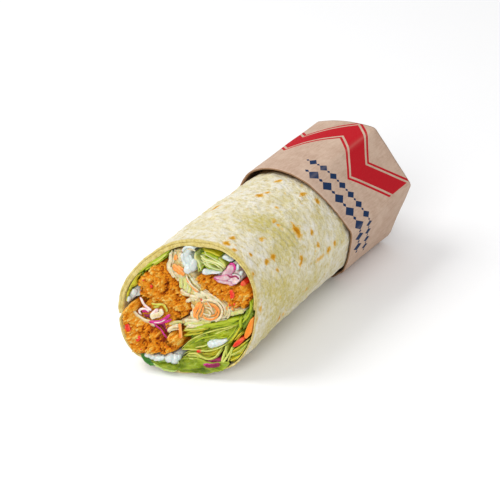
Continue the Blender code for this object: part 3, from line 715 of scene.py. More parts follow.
freckles = dough.ramp(dough.cells(6.0, "F1"), (0.05, 0.5), (0.2, 0.0))
browned = dough.sum("MAXIMUM", dough.painted("toast"), dough.times(freckles, broad))
browned = dough.times(browned, dough.ramp(dough.grain(1.3, 4.0, 0.75), (0.30, 0.55), (0.54, 1.0)))
surface = dough.mixed(dough.ramp(browned, (0.06, 0.0), (0.46, 0.95)), surface, GOLDEN)
surface = dough.mixed(dough.ramp(browned, (0.40, 0.0), (0.74, 1.0)), surface, TOAST)
surface = dough.mixed(dough.ramp(browned, (0.74, 0.0), (1.0, 0.6)), surface, TOAST_DARK)
pores = dough.ramp(dough.grain(1.8, 3.0, 0.7), (0.35, 0.0), (0.65, 1.0))
surface = dough.mixed(dough.painted("edge"), surface, dough.mixed(pores, CUT_EDGE, CUT_EDGE_PALE))
dough.coloured(dough.mixed(dough.painted("carton_shade"), surface, SHADE_IN_THE_CARTON))
fine = dough.times(dough.grain(0.8, 3.0, 0.65), 0.3)
dough.bumped(dough.plus(dough.plus(wrinkles, fine), dough.times(broad, 0.8)), 1.4)
made(
    "tortilla_sheet", verts, faces, [dough], ["tortilla"],
    painted={"toast": toast, "oil": oil, "edge": edge, "carton_shade": carton_shade},
)


# The falafel: three balls of coarse chickpea mash, fried orange brown and cut through, so that they
# show crumbs with gaps between them, which are darkened with painted shade. Bits of red pepper are worked
# into the mash.
FALAFEL_UPPER = (
    "-25.5,44.5 -22.5,48.3 -18.5,50.3 -16,51.6 -14.6,48.5 -13,45.3 -9.7,42.5 -7.6,38.5 -4.2,36 -2,33 "
    "-1,30 -2.2,27.2 -6.5,25.4 -8.5,28.2 -11.5,31.2 -18,33.2 -22,33.6 -25.2,34.8 -27.2,38 -27.6,41.5"
)
FALAFEL_LOWER = (
    "-30.5,28.6 -28.6,31.6 -26.4,31.8 -25.4,30 -25.8,28.2 -27.2,26.6 -22,23.3 -16.6,20.9 -12.2,18.7 "
    "-9,16.6 -7.5,19.5 -4,19.5 -2.2,17 -2.2,12.4 -4.2,10.6 -7.6,8.9 -11,8.4 -17.4,8.4 -19,7 -26,8 "
    "-31,12 -33,18 -33,25"
)
FALAFEL_RIGHT = (
    "-0.3,46.6 2.6,48.6 6.6,48.9 8.5,47.1 13,45.8 17.8,45 20.6,45.8 24.4,45.8 26.6,42.2 26.9,40.2 "
    "26,36.2 23,35 18,35.5 15,37 9,39.4 5,41.5 2,43.8"
)
# A distance from the rim at which a face has its whole swell, and the crumb height given to a layer's sides,
# which paints them darker as painted shade.
INSIDE_GAP = 99.0
SIDE_PAINTED_SHADE = -0.6


def room(angle):
    """The radius left for the filling inside the sheet."""
    turned = (OUTER_END - math.degrees(angle)) % 360
    if turned < OVERLAP + 4:
        turned += 360
    return cut_radius(angle) - (sheet_inset(turned) + SHEET) * layer(turned) / SHEET - FIT


def inside(point):
    """Draws a point in until it clears the tortilla."""
    away = Vector(point) - Vector(CUT_CENTRE)
    angle = math.atan2(away.y, away.x)
    return Vector(CUT_CENTRE) + away.normalized() * min(away.length, room(angle))


def path_points(path):
    """The places of an outline or a path, where it is written as "x,z x,z" in millimetres."""
    if isinstance(path, str):
        return [tuple(map(float, place.split(","))) for place in path.split()]
    return path


def outline(corners, step, ragged=0.0, free=False):
    """Rounds the corners of a closed shape, splits its sides and, unless free, keeps it in the tortilla."""
    corners = [Vector(c) for c in path_points(corners)]
    rounded = []
    for i, here in enumerate(corners):
        following = corners[(i + 1) % len(corners)]
        rounded += [here.lerp(following, 0.22), here.lerp(following, 0.78)]
    points = []
    for i, here in enumerate(rounded):
        following = rounded[(i + 1) % len(rounded)]
        splits = max(1, round((following - here).length / step))
        points += [here.lerp(following, k / splits) for k in range(splits)]
    for i, point in enumerate(points):
        away = noise.noise_vector(Vector((point.x, point.y, 3.0)) * 0.6) * ragged
        points[i] = point + Vector((away.x, away.y))
    kept = []
    for point in points if free else map(inside, points):
        if not kept or (point - kept[-1]).length > 0.45 * step:
            kept.append(point)
    area = sum(p.x * q.y - q.x * p.y for p, q in zip(kept, kept[1:] + kept[:1]))
    return kept if area > 0 else kept[::-1]


class Heap:
    """The mesh of one piece while it is being put together, and how far its patches stand out by point."""

    def __init__(self):
        self.verts, self.faces, self.which, self.edge, self.relief = [], [], [], [], []

    def join(self, verts, faces, edge, finish=0):
        """Adds a mesh with one finish, and how much of a pale cut edge each of its points is."""
        start = len(self.verts)
        self.verts += [tuple(v) for v in verts]
        self.faces += [tuple(start + i for i in face) for face in faces]
        self.which += [finish] * len(faces)
        self.edge += edge

    def make(self, name, finishes, replaced=()):
        return made(name, self.verts, self.faces, finishes, replaced, self.which, {"edge": self.edge})


def fill_points(rim, spacing):
    """Points on a jittered grid inside a closed outline, clear of its rim."""
    tree = kdtree.KDTree(len(rim))
    for i, p in enumerate(rim):
        tree.insert((p.x, p.y, 0), i)
    tree.balance()
    low, high = min(p.y for p in rim), max(p.y for p in rim)
    found = []
    row = 0
    z = low + spacing / 2
    while z < high:
        crossings = sorted(
            p.x + (q.x - p.x) * (z - p.y) / (q.y - p.y)
            for p, q in zip(rim, rim[1:] + rim[:1]) if (p.y > z) != (q.y > z)
        )
        for start, end in zip(crossings[::2], crossings[1::2]):
            k = math.ceil(start / spacing)
            while k * spacing < end:
                shake = noise.noise_vector(Vector((k * 1.7, row * 1.3, 5.0))) * spacing * 0.4
                place = Vector((k * spacing + (row % 2) * spacing / 2 + shake.x, z + shake.y))
                gap = tree.find((place.x, place.y, 0))[2]
                if start < place.x < end and gap > 0.55 * spacing:
                    found.append((place, gap))
                k += 1
        z += spacing * 0.87
        row += 1
    return found


def patch(
    heap, corners, shape, front=0.0, spacing=0.5, round_over=0.7, finish=0, deep=None, ragged=0.0, free=False
):
    """A layer of the filling, with a worked cut face and sides that run back to the carton's end.

    shape gives how far the face stands out at a place, from x, z and the distance to the rim. deep
    ends the layer so many millimetres behind its face.
    """
    rim = outline(corners, spacing, ragged, free)
    count = len(rim)
    grid = fill_points(rim, spacing)
    flat = rim + [p for p, _ in grid]
    edges = [(i, (i + 1) % count) for i in range(count)]
    coords, _, faces, origin, _, _ = geometry.delaunay_2d_cdt(flat, edges, [], 1, 1e-7)
    gaps = [0.0] * count + [gap for _, gap in grid]
    rim_at = {}
    verts, edge = [], []
    for i, p in enumerate(coords):
        source = origin[i][0] if origin[i] else 0
        if source < count:
            rim_at[source] = i
        gap = gaps[source]
        out = shape(p.x, p.y, gap)
        curl = min(gap / round_over, 1.0)
        lift = out - round_over * (1 - math.sqrt(max(0.0, 1 - (1 - curl) ** 2)))
        verts.append(carried(p.x, p.y, cut_y(p.x, p.y) + front - lift))
        edge.append(max(0.0, 1 - gap / 0.8))
        heap.relief.append(shape(p.x, p.y, INSIDE_GAP))
    faces = [tuple(face) for face in faces]
    ring = [rim_at[i] for i in range(count)]
    backs = [(1.0, 0.0), (3.0, 0.0), (7.0, 0.0), (7.0, 0.3), (7.0, 0.65), (7.0, 1.0)]
    for behind, part in [(deep, 0.0)] if deep else backs:
        start = len(verts)
        for p in rim:
            first = cut_y(p.x, p.y) + front - shape(p.x, p.y, 0.0) + round_over
            verts.append(carried(p.x, p.y, mix(first + behind, REAR_Y, part)))
            edge.append(0.0)
            heap.relief.append(0.0)
        following = list(range(start, start + count))
        for i in range(count):
            j = (i + 1) % count
            faces.append((ring[i], ring[j], following[j], following[i]))
        ring = following
    faces.append(tuple(ring))
    heap.join(verts, faces, edge, finish)


def crumbs(x, z, size, seed):
    """Crumbs of about one size: each a tilted chip at its own height, with sharp gaps between them."""
    place = Vector((x, z, seed)) / size
    place += noise.noise_vector(place * 0.9) * 0.5
    distances, centres = noise.voronoi(place)
    own = noise.noise(centres[0] * 7.3)
    tilt = noise.noise_vector(centres[0] * 5.1 + Vector((3, 1, 4))).dot(place - centres[0]) * 2.2
    return (0.6 + 1.1 * own + tilt) * smooth((distances[1] - distances[0]) * 5.0)


def mash(seed, swell, coarse, reach):
    """The relief of a cut falafel: lumps, crumbs, torn ridges and gaps, and the swell that they lie on."""
    def shape(x, z, gap):
        here = Vector((x, z, seed))
        lump = 1.1 * noise.noise(here * 0.2)
        big = 0.8 * coarse * (crumbs(x, z, 2.6 * coarse, seed) - 0.6)
        small = 0.9 * (crumbs(x, z, 1.3, seed + 9) - 0.5) + 0.5 * (crumbs(x, z, 0.65, seed + 17) - 0.5)
        torn = max(0.0, 1 - 4.5 * abs(noise.noise(here * 0.33 + Vector((4, 2, 6))))) ** 2
        pit = min(0.0, noise.noise(Vector((x, z, seed + 4)) * 0.42) + 0.22) * 2.6
        rise = swell * (1 - (1 - min(gap / reach, 1.0)) ** 2)
        return lump + big + small + 0.8 * torn + 0.3 * noise.noise(here * 2.2) + pit + rise
    return shape


# The mash's colour follows its relief height: painted shade darkens the gaps between crumbs and the layer's
# sides, and painted highlight makes the tops pale yellow; the fine noise is the mash's own mottling.
fried = Finish("fried_mash", 0.38, Specular_IOR_Level=0.12)
shaded_tone = fried.plus(fried.painted("relief_shade"), fried.times(fried.grain(0.9, 4.0, 0.75), 2.4))
mash_colour_painted_light = fried.ramp(
    fried.plus(fried.times(shaded_tone, 0.36), 0.08),
    (0.0, (0.20, 0.025, 0.001)), (0.16, (0.60, 0.14, 0.002)), (0.36, (0.89, 0.285, 0.008)),
    (0.62, (0.95, 0.41, 0.030)), (1.0, (0.99, 0.72, 0.20)),
)
golden = fried.ramp(fried.grain(3.4, 3.0, 0.6), (0.52, 0.0), (0.68, 0.5))
fried.coloured(fried.mixed(golden, mash_colour_painted_light, (0.93, 0.44, 0.03)))
fried.bumped(fried.grain(0.7, 4.0, 0.8), 0.75)

for name, corners, seed, swell, coarse, reach in (
    ("falafel_upper", FALAFEL_UPPER, 11.0, 1.4, 0.9, 6.0),
    ("falafel_lower", FALAFEL_LOWER, 23.0, 4.4, 1.1, 1.5),
    ("falafel_right", FALAFEL_RIGHT, 37.0, 1.4, 0.8, 6.0),
):
    heap = Heap()
    patch(heap, corners, mash(seed, swell, coarse, reach), spacing=0.25, round_over=0.8, ragged=1.1)
    ball = heap.make(name + "_crumbed", [fried], [name])
    relief_shade_values = [out - swell if out else SIDE_PAINTED_SHADE for out in heap.relief]
    ball.data.attributes.new("relief_shade", "FLOAT", "POINT").data.foreach_set("value", relief_shade_values)


# The slaw: white cabbage and a little green, cut into shreds 1 to 2 mm wide and dressed, so that it
# is creamy and wet. The shreds lie across each other on a packed core.
SLAW = (
    "-14.2,57 -9.4,58.2 -8.7,55.5 -7.1,51 -2.8,48.1 -1.2,46 1.2,43.1 4.2,40.8 8.6,38.6 14.8,36.2 "
    "17.8,34.8 22.8,34.3 25,34.8 24.4,33 19.5,30.6 13,28 6,25.6 1,23.8 -3,22.6 -5.8,24.4 -1.6,26.6 "
    "-0.3,30.2 -1.4,33.5 -3.7,36.7 -7,39.1 -9,43.2 -12.5,46 -13.9,49 -15.2,52.6"
)
CREAMY, GREENISH, YELLOWED = range(3)
# Shreds: finish, width, how far the front lies behind the cut, and the path that it follows.
SLAW_SHREDS = (
    (CREAMY, 1.8, -0.2, "-14.2,57 -13.6,53.5 -13.9,50 -12.6,46.8"),
    (CREAMY, 1.4, 0.6, "-12.4,57.4 -12.3,54.5 -13,51"),
    (CREAMY, 1.9, 0.4, "-9.4,57.5 -9.9,55 -9.2,52.8"),
    (CREAMY, 1.6, 0.0, "-13.2,50 -12.2,47.6 -10.4,45.2"),
    (CREAMY, 1.3, 0.5, "-9,48.5 -8.2,46 -9,43.5"),
    (CREAMY, 1.3, 0.5, "-8.2,55 -7.5,52.5 -5.5,50"),
    (CREAMY, 1.6, 0.2, "-11,47.4 -8.6,46.6 -6.4,46.8"),
    (GREENISH, 2.0, 0.3, "-8.2,45.5 -7.2,42.5 -6.8,40.2"),
    (GREENISH, 2.2, 0.0, "-5.6,46 -4.9,43 -4.9,40"),
    (GREENISH, 1.8, 0.2, "-3.8,44.5 -2.8,41.5 -2.9,38.8"),
    (CREAMY, 1.8, 0.2, "-7,39.5 -4.5,38.2 -2,37.8"),
    (GREENISH, 1.6, 0.4, "-1.6,42 -0.4,40.2 0.2,38.2"),
    (CREAMY, 0.9, -1.0, "-4.6,47.6 -3,45 -0.2,42.6 2.6,40.8"),
    (CREAMY, 0.9, -0.4, "-2.2,46.6 0.4,43.8 3.4,41.6"),
    (CREAMY, 1.8, -1.0, "3,40.8 6,39.6 8.6,37.6 12.6,36.9"),
    (CREAMY, 1.3, -0.6, "5.6,40.6 9.6,39.2 13.4,36.9 15.6,34.2 15.9,31"),
    (CREAMY, 1.4, 0.2, "16.8,35 17.2,32.6 15.8,30"),
    (CREAMY, 2.6, -0.4, "0,39.8 2.6,38.6 5.8,38.6"),
    (CREAMY, 1.2, 0.1, "6.5,38.2 9.5,36.6 12,35.6"),
    (CREAMY, 1.5, 0.0, "3.8,37.4 5.8,36.6 8.6,36.1"),
    (CREAMY, 1.9, 0.1, "-2.2,37.4 0.4,37.2 2.4,36.6"),
    (CREAMY, 1.5, 0.3, "-3.4,34.6 -1.4,35.8 0.6,35.2"),
    (CREAMY, 1.4, 0.3, "-0.8,33.4 0.6,31.8 1,29.6"),
    (CREAMY, 1.4, 0.3, "-0.4,30 0.6,27.6 2.8,26.6"),
    (CREAMY, 0.9, 0.0, "16.4,31.6 18.4,34.2 19.2,34.8"),
    (GREENISH, 2.4, 0.5, "19.6,32 22.4,33.2 24.2,34.2"),
    (CREAMY, 1.4, 0.2, "4.5,27.2 8.5,27.8 12.5,28.8 16.5,30.4"),
    (GREENISH, 1.5, 0.4, "17,31 18.8,32 20.4,32.6"),
    (CREAMY, 2.0, 0.0, "-3,25.4 0.6,25.8 4.6,26.2"),
    (GREENISH, 1.7, 0.0, "-2.6,23.8 1.6,24.6 6,25.4 10,26.6"),
    (CREAMY, 1.4, -0.2, "-1.4,22.4 2.4,23.3 6.6,24.6"),
    (CREAMY, 1.7, -1.6, "-9.2,19.6 -8.4,21.2 -6.6,22.2 -4.4,22.8"),
    (GREENISH, 2.0, 0.2, "-10,22 -6.8,23.6 -3.6,24.2"),
)
SHRED_SIDES = 10


def curve(path, step):
    """A smooth path through a few points."""
    path = [Vector(p) for p in path]
    ends = [path[0] * 2 - path[1]] + path + [path[-1] * 2 - path[-2]]
    points = []
    for i in range(1, len(ends) - 2):
        p0, p1, p2, p3 = ends[i - 1:i + 3]
        splits = max(1, round((p2 - p1).length / step))
        for k in range(splits):
            points.append(eased(p0, p1, p2, p3, k / splits))
    return points + [path[-1]]


def strand(heap, finish, width, front, path, thick=None, taper=0.6, square=1.0, wave=0.35):
    """A shred lying across the cut: an oval section drawn along a path, thinner at its ends."""
    path = path_points(path)
    thick = thick or min(width, 1.7) * 0.8
    line = [inside(p) for p in curve(path, 0.55)]
    seed = path[0][0] * 3.1 + path[0][1]
    verts, edge = [], []
    last = len(line) - 1
    for i, here in enumerate(line):
        along = (line[min(i + 1, last)] - line[max(i - 1, 0)]).normalized()
        side = Vector((-along.y, along.x))
        t = i / last
        narrow = min(1.0, taper + 4.5 * min(t, 1 - t))
        narrow *= 1 + 0.16 * noise.noise(Vector((i * 0.5, seed, 0)))
        end = 0.45 if i in (0, last) else 1.0
        wander = wave * noise.noise(Vector((i * 0.22, seed, 7)))
        base = cut_y(here.x, here.y) + front + thick / 2 + wander
        for k in range(SHRED_SIDES):
            a = 2 * math.pi * k / SHRED_SIDES
            c, s = math.cos(a), math.sin(a)
            c = math.copysign(abs(c) ** square, c)
            s = math.copysign(abs(s) ** square, s)
            p = here + side * (c * width / 2 * narrow * end)
            verts.append(carried(p.x, p.y, base - s * thick / 2 * end * narrow))
            edge.append(max(0.0, abs(c) - 0.6) * 2)
    ends = [tuple(range(SHRED_SIDES)), tuple(reversed(range(last * SHRED_SIDES, len(verts))))]
    heap.join(verts, ring_faces(SHRED_SIDES, last + 1) + ends, edge, finish)


def packed(amount, size, seed):
    """The face of something packed together: soft folds of one size."""
    def shape(x, z, gap):
        fold = noise.noise(Vector((x, z, seed)) / size)
        return amount * (fold + 0.5 * noise.noise(Vector((x, z, seed + 3)) * 2 / size))
    return shape


def limp(amount, size, seed, swell=0.0, ribs=0.0, lean=(1.0, 0.3), reach=5.0):
    """The face of a soft leaf: broad folds, fine ribs that run one way, and a swell."""
    def shape(x, z, gap):
        along, aside = x * lean[0] + z * lean[1], x * lean[1] - z * lean[0]
        fold = noise.noise(Vector((along * 0.4, aside, seed)) / size)
        wrinkle = 0.35 * noise.noise(Vector((along * 0.5, aside, seed + 2)) * 2.4 / size)
        rib = ribs * math.sin(aside * 2.1 + 2.0 * fold)
        return amount * (fold + wrinkle) + rib + swell * (1 - (1 - min(gap / reach, 1.0)) ** 2)
    return shape


def wet(name, base, dark, pale, size, roughness=0.32, glow=0.15):
    """A moist vegetable: streaky colour with a pale cut edge and a thin wet shine."""
    finish = Finish(name, roughness, Subsurface_Weight=glow, Subsurface_Scale=0.0012, Specular_IOR_Level=0.3)
    streaks = finish.grain(size, 3.0, 0.6, (1, 2.5, 1))
    body = finish.mixed(finish.ramp(streaks, (0.34, 0.0), (0.64, 1.0)), dark, base)
    finish.coloured(finish.mixed(finish.times(finish.painted("edge"), 0.75), body, pale))
    finish.shine(finish.ramp(finish.grain(2.2), (0.35, roughness), (0.65, roughness + 0.22)))
    finish.bumped(finish.grain(0.9, 3.0, 0.6), 0.14)
    return finish


def stray(chances, path, spread):
    """A path like another one, moved and turned a little by the next random numbers."""
    path = path_points(path)
    middle = sum((Vector(p) for p in path), Vector((0.0, 0.0))) / len(path)
    move = Vector((chances.uniform(-spread, spread), chances.uniform(-spread, spread)))
    turn = chances.uniform(-0.2, 0.2)
    size = chances.uniform(0.8, 1.1)
    cos, sin = math.cos(turn), math.sin(turn)
    turned = []
    for p in path:
        x, z = (Vector(p) - middle) * size
        turned.append(tuple(middle + Vector((x * cos - z * sin, x * sin + z * cos)) + move))
    return turned


creamy = wet("dressed_cabbage", (0.76, 0.68, 0.46), (0.60, 0.46, 0.20), (0.86, 0.81, 0.66), 2.2, 0.28, 0.25)
greenish = wet(
    "green_cabbage_shred", (0.66, 0.66, 0.27), (0.52, 0.50, 0.09), (0.80, 0.80, 0.52), 2.4, 0.28, 0.25,
)
yellowed = wet("soaked_cabbage", (0.78, 0.64, 0.30), (0.64, 0.46, 0.12), (0.86, 0.78, 0.52), 2.2, 0.28, 0.25)
heap = Heap()
patch(heap, SLAW, packed(0.9, 2.2, 3.0), front=1.5, spacing=0.55, finish=YELLOWED)
chances = random.Random(4)
for shred in SLAW_SHREDS:
    strand(heap, *shred)
    finish, width, front, path = shred
    for _ in range(3):
        lean = stray(chances, path, 1.1)
        width = chances.uniform(0.5, 1.3)
        finish = chances.choice((CREAMY, CREAMY, finish, YELLOWED))
        strand(heap, finish, width, front + chances.uniform(0.1, 1.0), lean, taper=0.5, wave=0.7)
heap.make("slaw_shreds", [creamy, greenish, yellowed], ["slaw"])


# Carrot: grated raw, so that it lies in flat ribbons and curls between the cabbage, and one stick at
# the right. The shreds are orange, darker along their streaks and paler at their cut edges.
CARROT_PIECES = {
    "carrot_top": (
        (0, 2.4, -0.7, "-11.8,51.4 -9.6,50 -7.4,48.4 -5.6,47.3"),
        (0, 1.7, -0.5, "-11.6,50 -9.4,48.6 -7,47.4"),
        (0, 1.3, -0.2, "-9.8,51 -7.8,50.2 -6.4,49.2"),
        (0, 1.7, -0.2, "-11.7,56.2 -11.3,55 -11.5,53.4"),
    ),
    "carrot_curl": (
        (0, 1.0, -0.9, "5.8,35.2 8.6,35.8 11.8,34.6 13.4,31.8 11.8,29 8.8,28.2 6,29.2"),
        (0, 0.6, -1.2, "8.4,36.2 11.4,35.6 13.6,33.4 13.4,30"),
        (0, 0.8, 0.2, "7.4,34 9.8,34.2 11.6,32.6 11.4,30.4 9.2,29.4"),
        (1, 1.1, -1.5, "4.6,36.4 7.6,37.6 11.6,37 14.6,34.6 15,31 12.8,27.8"),
        (1, 0.8, -0.4, "6.2,33.6 8.4,33.2 10.2,32.4 10.6,30.8"),
        (1, 1.0, -0.1, "6.4,31.8 8,31.6 9.2,30.4 8.4,29"),
        (1, 0.7, -1.6, "7.4,36.8 9.6,34.6 10.8,32.2"),
        (1, 0.8, 0.2, "5.2,30.6 7,29.8 9.6,29.6"),
    ),
    "carrot_wide": (
        (0, 1.3, -0.8, "3.9,35.8 3,33 1.9,30 2.6,27.8"),
        (0, 1.1, -1.1, "5,35.4 4.4,32.4 3.4,29.6 3.9,27.2"),
        (0, 1.0, -0.4, "2.8,35.2 1.8,32.6 1,30.6"),
        (0, 0.9, -0.6, "5.6,33.8 5.5,31 4.8,28.6"),
        (0, 0.8, -0.9, "4.4,34.2 3.8,31.4 2.9,28.8"),
        (0, 0.7, -0.8, "-4.4,46.2 -2.4,43.6 0.4,41.3 2.2,40.4"),
        (0, 1.7, -2.2, "-3.9,24.6 -3.1,21.6 -2.3,17.6"),
        (0, 0.9, -0.2, "16.2,35.2 17,33.4"),
        (0, 1.1, 0.0, "18.6,35.6 19.6,33.8"),
    ),
}
grated = wet("grated_carrot", (0.90, 0.36, 0.07), (0.80, 0.20, 0.015), (0.93, 0.56, 0.24), 1.6, 0.3, 0.2)
for node, shreds in CARROT_PIECES.items():
    heap = Heap()
    for shred in shreds:
        strand(heap, *shred, square=0.7)
    heap.make(node + "_shreds", [grated, creamy], [node])
heap = Heap()
patch(
    heap, "26.6,22.6 28,21.2 30,24.5 31,30.5 31,32 28.9,32 27.6,27.4",
    packed(0.4, 3.0, 8.0), front=-0.8, spacing=0.5,
)
stick = wet("carrot_stick_side", (0.88, 0.25, 0.012), (0.74, 0.15, 0.004), (0.92, 0.38, 0.06), 1.8, 0.26, 0.1)
heap.make("carrot_stick_cut", [stick], ["carrot_stick"])


# Red cabbage: thin cut leaves, magenta in the skin and pinkish white inside, in a tangle at the left,
# a folded piece at the upper right and a scrap at the bottom.
TANGLE = (
    "-21.8,32.9 -17.8,32.4 -12,30.6 -9.4,27.9 -7.4,25 -8,22.8 -8.6,19.6 -9.2,17.9 -12.2,19.5 -16.6,21.7 "
    "-22,24.2 -25.6,26.7 -24.2,28.4 -22.6,30.8"
)
CABBAGE_FOLD = (
    "8.2,48.6 12.8,49.9 13.9,53.2 15.2,55.8 16.9,56 17.7,54.4 18.2,52.2 20,50.2 20.9,49.3 20.2,47 "
    "17.6,45.9 13.2,46.7"
)
CABBAGE_SCRAP = "10.6,7.1 13,7 18,8.7 18.6,10 16.6,10.2 14,9.3 11.5,8.4"
MAGENTA, PLUM, LILAC, LIME, MASH, PETAL, IVORY = range(7)
TANGLE_SHREDS = (
    (LILAC, 1.3, -1.4, "-24.9,34 -22.8,31.2 -20.4,29.4 -18.6,28.4"),
    (LILAC, 1.1, -1.3, "-19.6,27.6 -21.4,28.7 -23.6,28.4 -24.5,26.9 -23,25.8"),
    (MAGENTA, 1.8, -0.7, "-23.4,27.2 -21.8,27.6 -20,27"),
    (PLUM, 1.3, -0.6, "-22.4,25.5 -20.2,25.2 -18.8,26.4"),
    (IVORY, 2.7, -2.2, "-18.2,25.2 -16.4,26.4 -14.4,27.3 -13.3,28.8 -14.4,30"),
    (LILAC, 1.7, -1.8, "-18.4,25.8 -17,28 -15.2,29.6"),
    (IVORY, 1.9, -1.5, "-27.4,27 -24.6,24.8 -21,23.2 -18,22.6 -16,20.8"),
    (MAGENTA, 1.5, -2.1, "-18.6,23.2 -14.8,23.7 -12.2,24.9 -10.2,26.9 -9,28.3"),
    (MAGENTA, 1.2, -1.8, "-17.2,22.9 -13.6,23.2 -10.8,24.3 -8,25.9"),
    (LILAC, 0.6, -2.3, "-16.4,23.4 -13.2,24 -10.8,25.6"),
    (MAGENTA, 0.9, -1.2, "-18,22.8 -15.2,21.6 -12.2,19.4 -10.4,17.4 -8.8,16.2"),
    (PLUM, 2.6, 0.1, "-15,22.8 -12.4,21.2 -9.8,18.4"),
    (PLUM, 2.0, 0.3, "-12.6,23 -10.4,21.4 -9.2,19.6"),
    (LIME, 1.3, -0.8, "-19.4,31.6 -16.6,31.4 -13.8,31.8 -12.2,30.2 -11.4,28.4"),
    (LIME, 1.0, -0.4, "-18.4,29.6 -16.4,30.2 -15.4,30.6"),
    (PLUM, 1.2, 0.4, "-21.6,24.6 -19,23.8"),
)
# The folded piece: finish, how far the front lies behind the cut, and corners of each petal.
PETALS = (
    (PETAL, -0.7, "11.6,49.4 12.8,52.6 14.2,55.2 16.2,56.4 17.9,55 17.6,52.4 15.8,50.2 13.4,48.8"),
    (PETAL, -1.5, "8.2,48.9 12,49.8 15.2,51.4 17.4,51.2 17,49.4 14.4,48 11.2,47.6"),
    (LILAC, -1.0, "14.8,50.6 18.2,51.6 20.8,49.9 20.4,47.4 17.8,46.2 15.2,47.4"),
    (PETAL, -1.2, "8.6,48 12.4,48.6 16.4,47.8 19.6,46.8 17.2,45.6 12.6,46.4"),
)
FOLD_SHREDS = (
    (MAGENTA, 1.2, -1.0, "14.9,55.6 16.3,56.2 17.6,54.8 17.5,53.2"),
    (PLUM, 0.9, -1.5, "15,50.9 16.8,50.2 19,50.9 20.8,49.6"),
    (MAGENTA, 0.5, -1.7, "8.6,48.6 11,48.2 13.4,48.4"),
)
magenta = wet("cabbage_skin", (0.62, 0.02, 0.26), (0.40, 0.008, 0.13), (0.74, 0.10, 0.36), 2.0, 0.25)
plum = wet("cabbage_shade", (0.28, 0.010, 0.075), (0.14, 0.005, 0.035), (0.44, 0.035, 0.14), 2.0, 0.28)
lilac = wet("cabbage_flesh", (0.84, 0.75, 0.68), (0.70, 0.40, 0.42), (0.88, 0.84, 0.80), 1.6, 0.24, 0.25)
lime = wet("pale_leaf_shred", (0.66, 0.64, 0.07), (0.46, 0.44, 0.03), (0.80, 0.80, 0.30), 1.6, 0.3)
petal = wet("cabbage_petal", (0.72, 0.60, 0.57), (0.56, 0.33, 0.37), (0.50, 0.05, 0.21), 2.6, 0.24, 0.3)
cabbage = [magenta, plum, lilac, lime, fried, petal, creamy]
heap = Heap()
patch(heap, TANGLE, mash(51.0, 0.0, 0.9, 4.0), front=0.8, spacing=0.3, finish=MASH)
for shred in TANGLE_SHREDS:
    strand(heap, *shred, square=0.85)
heap.make("red_cabbage_tangle", cabbage, ["red_cabbage_left"])
heap = Heap()
patch(heap, CABBAGE_FOLD, packed(0.6, 2.6, 6.0), front=1.5, spacing=0.45, finish=LILAC)
for finish, front, corners in PETALS:
    patch(heap, corners, limp(0.9, 2.2, front, lean=(0.7, 0.7)), front, 0.35, 0.4, finish, 1.2, 0.4)
for shred in FOLD_SHREDS:
    strand(heap, *shred, square=0.85)
heap.make("red_cabbage_fold", cabbage, ["red_cabbage_right"])
heap = Heap()
patch(heap, CABBAGE_SCRAP, packed(0.5, 2.0, 7.0), front=-0.6, spacing=0.45, finish=PLUM)
strand(heap, PLUM, 2.2, -2.6, "11.4,6.8 13.4,6.9 15.6,7.3 18.4,8.6", thick=0.9)
strand(heap, MAGENTA, 1.0, -2.7, "10.6,6.9 12.4,7.5 14.4,7.7", thick=0.7)
heap.make("red_cabbage_scrap", cabbage, ["red_cabbage_low"])


# Red pepper: small wet cuts of the skin and flesh. Two pieces lie at the right, and the rest are bits
# in the falafel, between the slaw and beside the lettuce.
pepper = wet("red_pepper_flesh", (0.80, 0.035, 0.012), (0.60, 0.012, 0.006), (0.88, 0.20, 0.08), 1.8, 0.22)
heap = Heap()
patch(
    heap, "22,17 22.8,19.2 25.2,21.4 26.6,21.9 27.2,20.6 25.4,18 23.2,16.4",
    lambda x, z, gap: 0.9 * min(gap, 1.6), front=-0.6, spacing=0.4,
)
heap.make("red_pepper_cut_low", [pepper], ["red_pepper_low"])
heap = Heap()
patch(
    heap, "21.3,48 22.3,48.9 24,46.9 22.9,46.4 21.5,46.5",
    lambda x, z, gap: 0.8 * min(gap, 1.2), front=-0.8, spacing=0.35,
)
heap.make("red_pepper_cut_right", [pepper], ["red_pepper_right"])
heap = Heap()
for width, front, path in (
    (2.2, -1.9, "-20.6,40.2 -19.4,40.3"), (1.0, -1.6, "-24.3,43 -24.4,42"),
    (3.0, -4.6, "-27.6,21.8 -27.2,20 -26.4,18.2"), (2.0, -4.5, "-28.6,19.6 -27.4,19.4"),
    (1.7, -5.3, "-21.6,14.6 -20.8,16.2 -20.2,17.4"), (0.9, -5.4, "-19.2,11.2 -18.4,10.8"),
    (1.0, -4.6, "-7.8,14.2 -7.2,13.8"), (2.7, -2.0, "17.4,43.7 19,43"),
    (2.3, -2.0, "18.4,43.4 18.9,41.8 18.7,40"), (0.9, -1.6, "14.4,39.4 15,38.8"),
    (1.3, -1.6, "17.8,36.8 18.8,36.9"), (1.3, -1.6, "20,37.2 21,38"),
    (1.2, -1.5, "1.5,47.6 2.1,47.2"), (1.3, 0.2, "3.4,36.9 3.8,35.9"), (1.5, -0.6, "5.4,11.8 8,12.4"),
):
    strand(heap, 0, width, front, path, taper=0.8, square=0.7)
heap.make("red_pepper_bits", [pepper])


# Yoghurt sauce: thick, white and glossy, in blobs that have run between the pieces, and a pool that
# lies in the fold of a leaf.
def blob(height, reach=1.8):
    """A drop that bulges from its rim to a rounded top."""
    def shape(x, z, gap):
        rise = math.sqrt(max(0.0, 1 - (1 - min(gap / reach, 1.0)) ** 2))
        return height * rise + 0.25 * noise.noise(Vector((x, z, 1.0)) * 0.5)
    return shape


